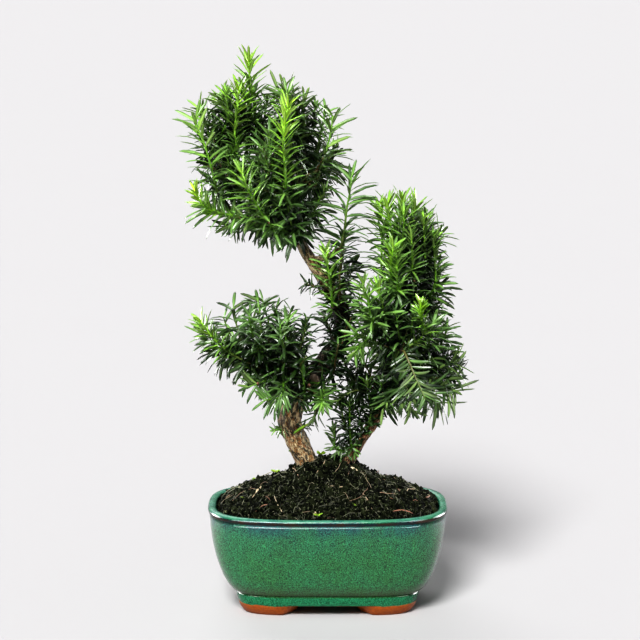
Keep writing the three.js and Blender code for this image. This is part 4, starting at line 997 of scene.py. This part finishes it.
for region, rows in SHOOTS.items():
    for points, tip_age, foot_age, flat, full, *side_count in rows:
        points = np.array(points, float)
        sides = side_count[0] if side_count else 0
        reach = np.linalg.norm(points[1] - points[0])
        if sides:
            points = bowed(points[0], points[0] + (points[1] - points[0]) * (1 - TIP_NEEDLES / reach), 4)
        foot = wood_line[np.argmin(np.linalg.norm(wood_line[:, :3] - points[0], axis=1)), :3]
        away = np.linalg.norm(foot - points[0])
        if away > LONGEST_LINK:
            foot = points[0] + (foot - points[0]) * LONGEST_LINK / away
        line = eased(np.concatenate([foot[None], points]), 4.0)
        grow(region, line, tip_age, foot_age, flat, full)
        run = unit(line[-1] - line[0])
        level = unit(np.cross(run, UP + np.array([0.1, 0.2, 0])))
        for k in range(sides):
            share = (k + 0.6) / sides * 0.8
            at = line[int(share * (len(line) - 1))]
            around = k * GOLDEN_ANGLE + rng.uniform(-0.4, 0.4)
            out = level * np.cos(around) + np.cross(level, run) * np.sin(around)
            heading = unit(run * 0.7 + out * 0.65 + UP * 0.3)
            size = min((0.46 * (1 - share) + 0.2) * reach * rng.uniform(0.8, 1.15), LONGEST_SIDE_SHOOT)
            grow(region, bowed(at, at + heading * size), rng.uniform(0.45, 0.75), 0.9, flat, USUAL_NEEDLE)

for region, numbers in LEAFY_BRANCHES.items():
    for number in numbers:
        wood_path = eased(BRANCHES[number], 1.0)[:, :3]
        run = unit(wood_path[-1] - wood_path[0])
        level = unit(np.cross(run, np.array([0.15, 0.1, 1.0])))
        for k, at in enumerate(wood_path[6::8]):
            around = k * GOLDEN_ANGLE + number
            out = level * np.cos(around) + np.cross(level, run) * np.sin(around)
            heading = unit(run * 0.55 + out * 0.65 + UP * 0.35 + np.array([0, 0.35, 0]))
            tip = at + heading * rng.uniform(16, 30)
            grow(region, bowed(at, tip), rng.uniform(0.7, 0.95), 1.0, 0.2, USUAL_NEEDLE)


def needles_on(shoot):
    """Needles in a spiral round a shoot, or for the flat share in two ranks, one each side of it as seen from
    the front. A needle leaves at an angle that narrows towards the shoot's end, and bends outwards and down
    along its length, the more the older it is. It is shorter towards the end and at the very foot. Its flat
    side faces the shoot's end, or the front in the ranks."""
    line = shoot["line"]
    pitch = NEEDLE_PITCH + PITCH_WITH_AGE * (shoot["tip_age"] + shoot["foot_age"]) / 2
    pitch *= OPENNESS[shoot["region"]] * np.clip(shoot["full"] / USUAL_NEEDLE, 0.6, 1.15)
    pitch *= 1 + 0.35 * shoot["flat"]
    count = int(shoot["length"] / pitch)
    share = (np.arange(count) + rng.uniform(0, 0.6, count) + 0.2) / count
    place = share * (len(line) - 1)
    i = np.minimum(place.astype(int), len(line) - 2)
    root = line[i] + (line[i + 1] - line[i]) * (place - i)[:, None]
    along = unit(line[i + 1] - line[i])
    level = unit(np.cross(along, np.array([0.03, -1.0, 0.06])))
    over = np.cross(level, along)
    age = shoot["foot_age"] + (shoot["tip_age"] - shoot["foot_age"]) * share**0.8
    age = np.clip(age + ADDED_AGE[shoot["region"]] + rng.normal(0, 0.06, count), 0, 1)
    ranked = rng.uniform(0, 1, count) < shoot["flat"]
    rank = (np.arange(count) % 2) * np.pi + rng.normal(0.12, 0.36, count)
    around = np.where(ranked, rank, np.arange(count) * GOLDEN_ANGLE + rng.normal(0, 0.12, count))
    out = level * np.cos(around)[:, None] + over * np.sin(around)[:, None]
    lean = 0.74 + 0.26 * age + 0.10 * ranked - 0.28 * share**3 + rng.normal(0, 0.12, count)
    bend = (0.26 + 0.50 * age) * (1 - 0.6 * share**3) + rng.normal(0, 0.10, count)
    first = unit(along * np.cos(lean)[:, None] + out * np.sin(lean)[:, None])
    last = unit(along * np.cos(lean + bend)[:, None] + out * np.sin(lean + bend)[:, None])
    droop = 0.06 + 0.42 * age**1.5 * rng.uniform(0.4, 1.3, count) + 0.5 * (shoot["flat"] == 1)
    last = unit(last - UP * droop[:, None])
    young_end = np.clip((share - 0.72) / 0.28, 0, 1)
    length = shoot["full"] * rng.uniform(0.95, 1.28, count) * (1 - 0.34 * young_end**1.5)
    length *= 0.6 + 0.4 * np.clip(share / 0.08, 0, 1)
    facing_end = unit(np.cross(along, first))
    facing_front = unit(np.cross(np.array([0.0, -1.0, 0.3]), first))
    facing_front *= np.sign(np.sum(facing_front * facing_end, axis=1, keepdims=True) + 1e-6)
    wide = unit(np.where(ranked[:, None], facing_front, facing_end) + rng.normal(0, 0.22, (count, 3)))
    return {"root": root, "first": first, "last": last, "wide": wide, "length": length, "age": age}


def along_needles(n, shares):
    """Points at shares t of the way along bent needles. The direction turns evenly from first to last, so a
    point is root + length * (first * (t - t^2 / 2) + last * t^2 / 2)."""
    t = np.asarray(shares, float)[None, :, None]
    size = n["length"][:, None, None]
    return n["root"][:, None] + size * (n["first"][:, None] * (t - t**2 / 2) + n["last"][:, None] * t**2 / 2)


def needle_bodies(n):
    """Blades along bent needles, each with four corners at a station: two edges, raised midrib and keel."""
    middle = along_needles(n, NEEDLE_STATIONS)
    along = unit(np.gradient(middle, axis=1))
    wide = n["wide"][:, None] - along * np.sum(n["wide"][:, None] * along, axis=-1, keepdims=True)
    wide = unit(wide)
    face = np.cross(along, wide)
    half = (NEEDLE_WIDTHS[None, :] * n["width"][:, None] / 2)[:, :, None]
    rib, keel = middle + face * half * 0.30, middle - face * half * 0.34
    return np.stack([middle + wide * half, rib, middle - wide * half, keel], axis=2)


def crowding(places):
    """How crowded each place is, from 0 to about 1: places are counted in cells of 5 mm, the counts are
    averaged over a cube of five cells, and divided by what the fullest twentieth reaches."""
    cell = np.floor((places - places.min(axis=0)) / CROWD_CELL).astype(int) + 2
    counts = np.zeros(cell.max(axis=0) + 3)
    np.add.at(counts, tuple(cell.T), 1)
    for axis in range(3):
        counts = sum(np.roll(counts, shift, axis=axis) for shift in (-2, -1, 0, 1, 2)) / 5
    found = counts[tuple(cell.T)]
    return found / np.quantile(found, 0.95)


def hides_cut(points):
    """Whether points lie in front of the stub's cut face, on the way it is looked at, a little from above."""
    off = points - np.array(CUT_FACE) / MM
    beside = np.hypot(off[..., 0], off[..., 2] + SIGHT_SLOPE * off[..., 1])
    return (off[..., 1] < -1) & (beside < CUT_CLEARANCE)


leaf_parts = {}
stem_parts = {}
low, high = np.array(solid_box[0]) / MM + BOX_MARGIN, np.array(solid_box[1]) / MM - BOX_MARGIN
for shoot in shoots:
    made = needles_on(shoot)
    blade = along_needles(made, (0, 0.35, 0.7, 1))
    kept = np.all((blade[:, -1] > low) & (blade[:, -1] < high), axis=1) & ~hides_cut(blade).any(axis=1)
    made = {key: value[kept] for key, value in made.items()}
    fullness = np.minimum(made["length"] / USUAL_NEEDLE, 1)
    made["width"] = rng.uniform(2.4, 3.0, len(fullness)) * (0.6 + 0.4 * fullness)
    kind = "young" if shoot["tip_age"] < YOUNG_TIP else "mature"
    leaf_parts.setdefault((shoot["region"], kind), []).append(made)
    stem_parts.setdefault(shoot["region"], []).append(shoot)

# Needles in the thick of the foliage are shaded: they get added age and so the darker colour of old ones, as
# painted shade.
grown = [made for parts in leaf_parts.values() for made in parts]
crowd = crowding(np.concatenate([
    made["root"] + made["first"] * made["length"][:, None] * 0.6 for made in grown]))
first_needle = 0
for made in grown:
    count = len(made["length"])
    shade = crowd[first_needle:first_needle + count]
    made["age"] = made["age"] + CROWD_SHADE_DARKENING * np.clip(shade - CROWDED_FROM, 0, 1)
    first_needle += count


def make_needle_finish():
    """Waxy needles: yellow green when new and blackish green when old, yellower towards the foot, each of its
    own strength, with a dull olive underside. Age also carries the painted shade of crowding. The raised midrib
    is painted lighter between darker edges, a painted highlight along its ridge."""
    material, tree, shader = new_material("yew_needle")
    tone = add_node(tree, "Attribute", {"attribute_name": "tone"}).outputs
    parts = add_node(tree, "SeparateColor", Color=tone["Color"]).outputs
    age, share, tint, rib = parts[0], parts[1], parts[2], tone["Alpha"]
    under = add_node(tree, "Attribute", {"attribute_name": "underside"}).outputs["Fac"]
    ripe = plus(tree, age, times(tree, maths(tree, "SUBTRACT", share, 0.35), 0.26))
    top = ramp(tree, ripe, [(0, (0.52, 0.72, 0.070)), (0.22, (0.28, 0.53, 0.055)),
                            (0.5, (0.165, 0.305, 0.074)), (0.75, (0.098, 0.185, 0.058)),
                            (1, (0.004, 0.017, 0.004))])
    below = ramp(tree, ripe, [(0, (0.42, 0.64, 0.05)), (0.4, (0.280, 0.430, 0.120)),
                              (1, (0.055, 0.085, 0.034))])
    colour = blend(tree, under, top, below)
    colour = blend(tree, times(tree, tint, 0.14), colour, (0.11, 0.19, 0.03))
    strength = plus(tree, times(tree, tint, 0.70), 0.62)
    # Painted highlight: the midrib and keel are painted lighter and the edges darker, along the raised ridge
    strength = times(tree, strength, plus(tree, times(tree, rib, 0.85), 0.62))
    colour = add_node(tree, "VectorMath", {"operation": "SCALE"}, in_0=colour, Scale=strength).outputs[0]
    shine = plus(tree, times(tree, under, 0.2), 0.30)
    feed(tree, shader, Base_Color=colour, Roughness=shine, Specular_IOR_Level=0.45)
    return material


needle_finish = make_needle_finish()
sprays_of = {
    region: [f"{region}_spray_{i + 1:02d}" for i in range(count)] for region, count in SPRAY_COUNTS.items()
}


def leafy_piece(name, made):
    """One piece of many needles. The colours of its attribute tone are the age, with any painted shade of
    crowding added, the share along the needle, a random tint and the midrib, which carries a painted highlight;
    underside marks the lower faces, and the edges along each needle stay sharp."""
    n = {key: np.concatenate([part[key] for part in made]) for key in made[0]}
    count, stations = len(n["length"]), len(NEEDLE_STATIONS)
    piece = mesh_piece(name, needle_bodies(n), *tube_faces(count, stations, NEEDLE_SIDES))
    tone = np.empty((count, stations, NEEDLE_SIDES, 4))
    tone[..., 0] = n["age"][:, None, None]
    tone[..., 1] = NEEDLE_STATIONS[None, :, None]
    tone[..., 2] = rng.uniform(0, 1, count)[:, None, None]
    # The midrib and keel corners get 1, for the painted highlight along the needle's ridge
    tone[..., 3] = np.array([0, 1, 0, 1])
    mark(piece, "tone", tone, "FLOAT_COLOR", field="color")
    underside = np.zeros(len(piece.data.polygons))
    quads = count * (stations - 1) * NEEDLE_SIDES
    underside[:quads] = np.tile([0, 0, 1, 1], quads // NEEDLE_SIDES)
    mark(piece, "underside", underside, domain="FACE")
    ends = np.empty(len(piece.data.edges) * 2, dtype=np.int32)
    piece.data.edges.foreach_get("vertices", ends)
    corner = ends.reshape(-1, 2) % NEEDLE_SIDES
    mark(piece, "sharp_edge", corner[:, 0] == corner[:, 1], "BOOLEAN", "EDGE")
    piece.data.materials.append(needle_finish)
    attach(piece, "root")
    return piece


for (region, kind), made in leaf_parts.items():
    piece = leafy_piece(f"{region}_needles_{kind}", made)
    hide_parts(*sprays_of[region])

green_stem, tree, shader = new_material("green_stem")
tone = add_node(tree, "Attribute", {"attribute_name": "tone"}).outputs["Fac"]
stem_colour = ramp(tree, tone, [(0, (0.30, 0.55, 0.05)), (0.4, (0.13, 0.30, 0.025)),
                                (0.7, (0.10, 0.12, 0.03)), (1, (0.20, 0.09, 0.045))])
feed(tree, shader, Base_Color=stem_colour, Roughness=0.5)
for region, group in stem_parts.items():
    lines = np.stack([
        s["line"][np.linspace(0, len(s["line"]) - 1, SHOOT_STEPS).round().astype(int)] for s in group])
    measures = np.array([[s["length"], s["foot_age"], s["tip_age"]] for s in group])
    lengths, foot_age, tip_age = measures.T[:, :, None]
    girth = (0.8 + 0.5 * lengths / 80) * np.linspace(1, 0.55, SHOOT_STEPS)
    faces = tube_faces(len(group), SHOOT_STEPS, STEM_SIDES)
    piece = mesh_piece(f"{region}_stems", tubes(lines, girth, STEM_SIDES), *faces)
    fade = np.clip(foot_age + (tip_age - foot_age) * np.linspace(0, 1.2, SHOOT_STEPS) - 0.1, 0, 1)
    mark(piece, "tone", np.repeat(fade, STEM_SIDES))
    piece.data.materials.append(green_stem)
    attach(piece, "root")

# Weed seedlings and leaf buds: small pale green seedlings that came up by themselves in the compost and on the
# left trunk, and the brown scaly buds of the yew, each about 3 mm, grown on its shoots.
SEEDLINGS = [(-63, 30, 101), (-45.6, 20.5, 111), (24.1, -47.1, 98.5), (-6, -2, 133), (-8.4, -54.4, 91.5),
             (-72, -20, 98)]
SEEDLING_BLADES = 5
# Leaves on the bark: root, direction, length, age and width
BARK_LEAVES = [((-17, -15, 163), (-0.86, -0.18, -0.42), 15.5, 0.16, 3.0),
               ((-37.5, -6, 150), (-0.5, -0.5, 0.6), 5, 0.1, 2.6),
               ((-31.5, -4, 136), (-0.6, -0.6, 0.4), 4, 0.1, 2.4),
               ((-40.5, -9, 158), (-0.8, -0.3, 0.4), 6, 0.35, 2.4)]
BUDS = [(-16, -27, 200), (-16, -27, 195), (-60, -25, 201), (-53, -22, 216), (-50, -39, 343), (48, -40, 254),
        (71, -30, 234), (73, -29, 291), (70, -14, 289), (-37, -13, 158), (-5, -29, 194)]

roots = np.repeat(np.array(SEEDLINGS), SEEDLING_BLADES, axis=0)
blades = len(roots)
around = np.tile(np.arange(SEEDLING_BLADES), len(SEEDLINGS)) * 2.4 + rng.uniform(-0.4, 0.4, blades)
outwards = np.stack([np.cos(around), np.sin(around), np.full(blades, 0.55)], axis=-1)
leaf_columns = [np.array(column, float) for column in zip(*BARK_LEAVES)]
leaf_roots, leaf_ways, leaf_lengths, leaf_ages, leaf_widths = leaf_columns
first = np.concatenate([unit(outwards), unit(leaf_ways)])
weeds = {
    "root": np.concatenate([roots, leaf_roots]),
    "first": first,
    "last": unit(first - UP * 0.25),
    "wide": unit(np.cross(first, np.array([0.2, 1.0, 0.5]))),
    "length": np.concatenate([rng.uniform(3.2, 5.2, blades), leaf_lengths]),
    "age": np.concatenate([rng.uniform(0.0, 0.12, blades), leaf_ages]),
    "width": np.concatenate([rng.uniform(2.2, 3.0, blades), leaf_widths]),
}
seedlings = leafy_piece("weed_seedlings", [weeds])

bud_bodies = turned(crumb_points, len(BUDS)) * rng.uniform(1.5, 2.1, (len(BUDS), 1, 1))
bud_bodies = bud_bodies + np.array(BUDS)[:, None, :]
buds = mesh_piece("leaf_buds", bud_bodies, copies(crumb_quads, len(crumb_points), len(BUDS)),
                  copies(crumb_fans, len(crumb_points), len(BUDS)))
bud_scales, tree, shader = new_material("bud_scales")
scale_edges = mottle(tree, object_place(tree), 900.0, 0.40, 0.60)
scale_colour = blend(tree, scale_edges, (0.11, 0.045, 0.022), (0.46, 0.24, 0.15))
feed(tree, shader, Base_Color=scale_colour, Roughness=0.6)
buds.data.materials.append(bud_scales)
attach(buds, "root")

# Setting: a plain pale floor under a soft sky light, with large panels that show only in the gloss, and the
# camera in front of the pot and a little above it.
FLOOR_SIZE = 60.0
bpy.ops.mesh.primitive_plane_add(size=FLOOR_SIZE, location=(0, 0, 0))
floor = bpy.context.object
floor.name = "floor"
floor_paint, tree, shader = new_material("floor_paint")
feed(tree, shader, Base_Color=(0.498, 0.490, 0.494, 1), Roughness=0.9, Specular_IOR_Level=0.0)
floor.data.materials.append(floor_paint)

world = bpy.data.worlds.new("room")
bpy.context.scene.world = world
world.use_nodes = True
feed(world.node_tree, world.node_tree.nodes["Background"], Color=(0.93, 0.94, 0.96, 1), Strength=0.25)


def panel(name, place, aim, width, height, power):
    """An oblong light panel at a place, turned to face its aim, that shows only in reflections."""
    lamp = bpy.data.lights.new(name, "AREA")
    lamp.shape = "RECTANGLE"
    lamp.size, lamp.size_y, lamp.energy = width, height, power
    stand = bpy.data.objects.new(name, lamp)
    bpy.context.scene.collection.objects.link(stand)
    way = np.array(aim) - np.array(place)
    stand.location = place
    stand.rotation_euler = Vector(way).to_track_quat("-Z", "Y").to_euler()
    stand.visible_diffuse = False
    stand.visible_camera = False


panel("left_window", (-1.55, -1.45, 1.3), (0, 0, 0.1), 0.5, 1.0, 40)
panel("right_window", (1.6, -1.2, 1.2), (0, 0, 0.1), 0.5, 1.0, 34)
panel("left_wall", (-1.9, 0.9, 0.4), (0, 0, 0.1), 1.2, 1.2, 80)
panel("right_wall", (1.9, 0.9, 0.4), (0, 0, 0.1), 1.2, 1.2, 80)
for name, strength, spread, slope, turn in (("sky_light", 3.9, 20, 46, -16), ("back_light", 0.8, 45, -50, 20)):
    sky = bpy.data.lights.new(name, "SUN")
    sky.energy = strength
    sky.angle = np.radians(spread)
    sky_stand = bpy.data.objects.new(name, sky)
    sky_stand.rotation_euler = (np.radians(slope), 0, np.radians(turn))
    bpy.context.scene.collection.objects.link(sky_stand)

lens = bpy.data.cameras.new("camera")
lens.lens = 135
lens.sensor_width = 36
lens.clip_end = 100
camera = bpy.data.objects.new("camera", lens)
bpy.context.scene.collection.objects.link(camera)
camera.location = (-0.00671, -2.03833, 0.63309)
camera.rotation_euler = (np.radians(79.4), 0, 0)
bpy.context.scene.camera = camera
bpy.context.scene.view_settings.view_transform = "Standard"
bpy.context.scene.view_settings.look = "High Contrast"
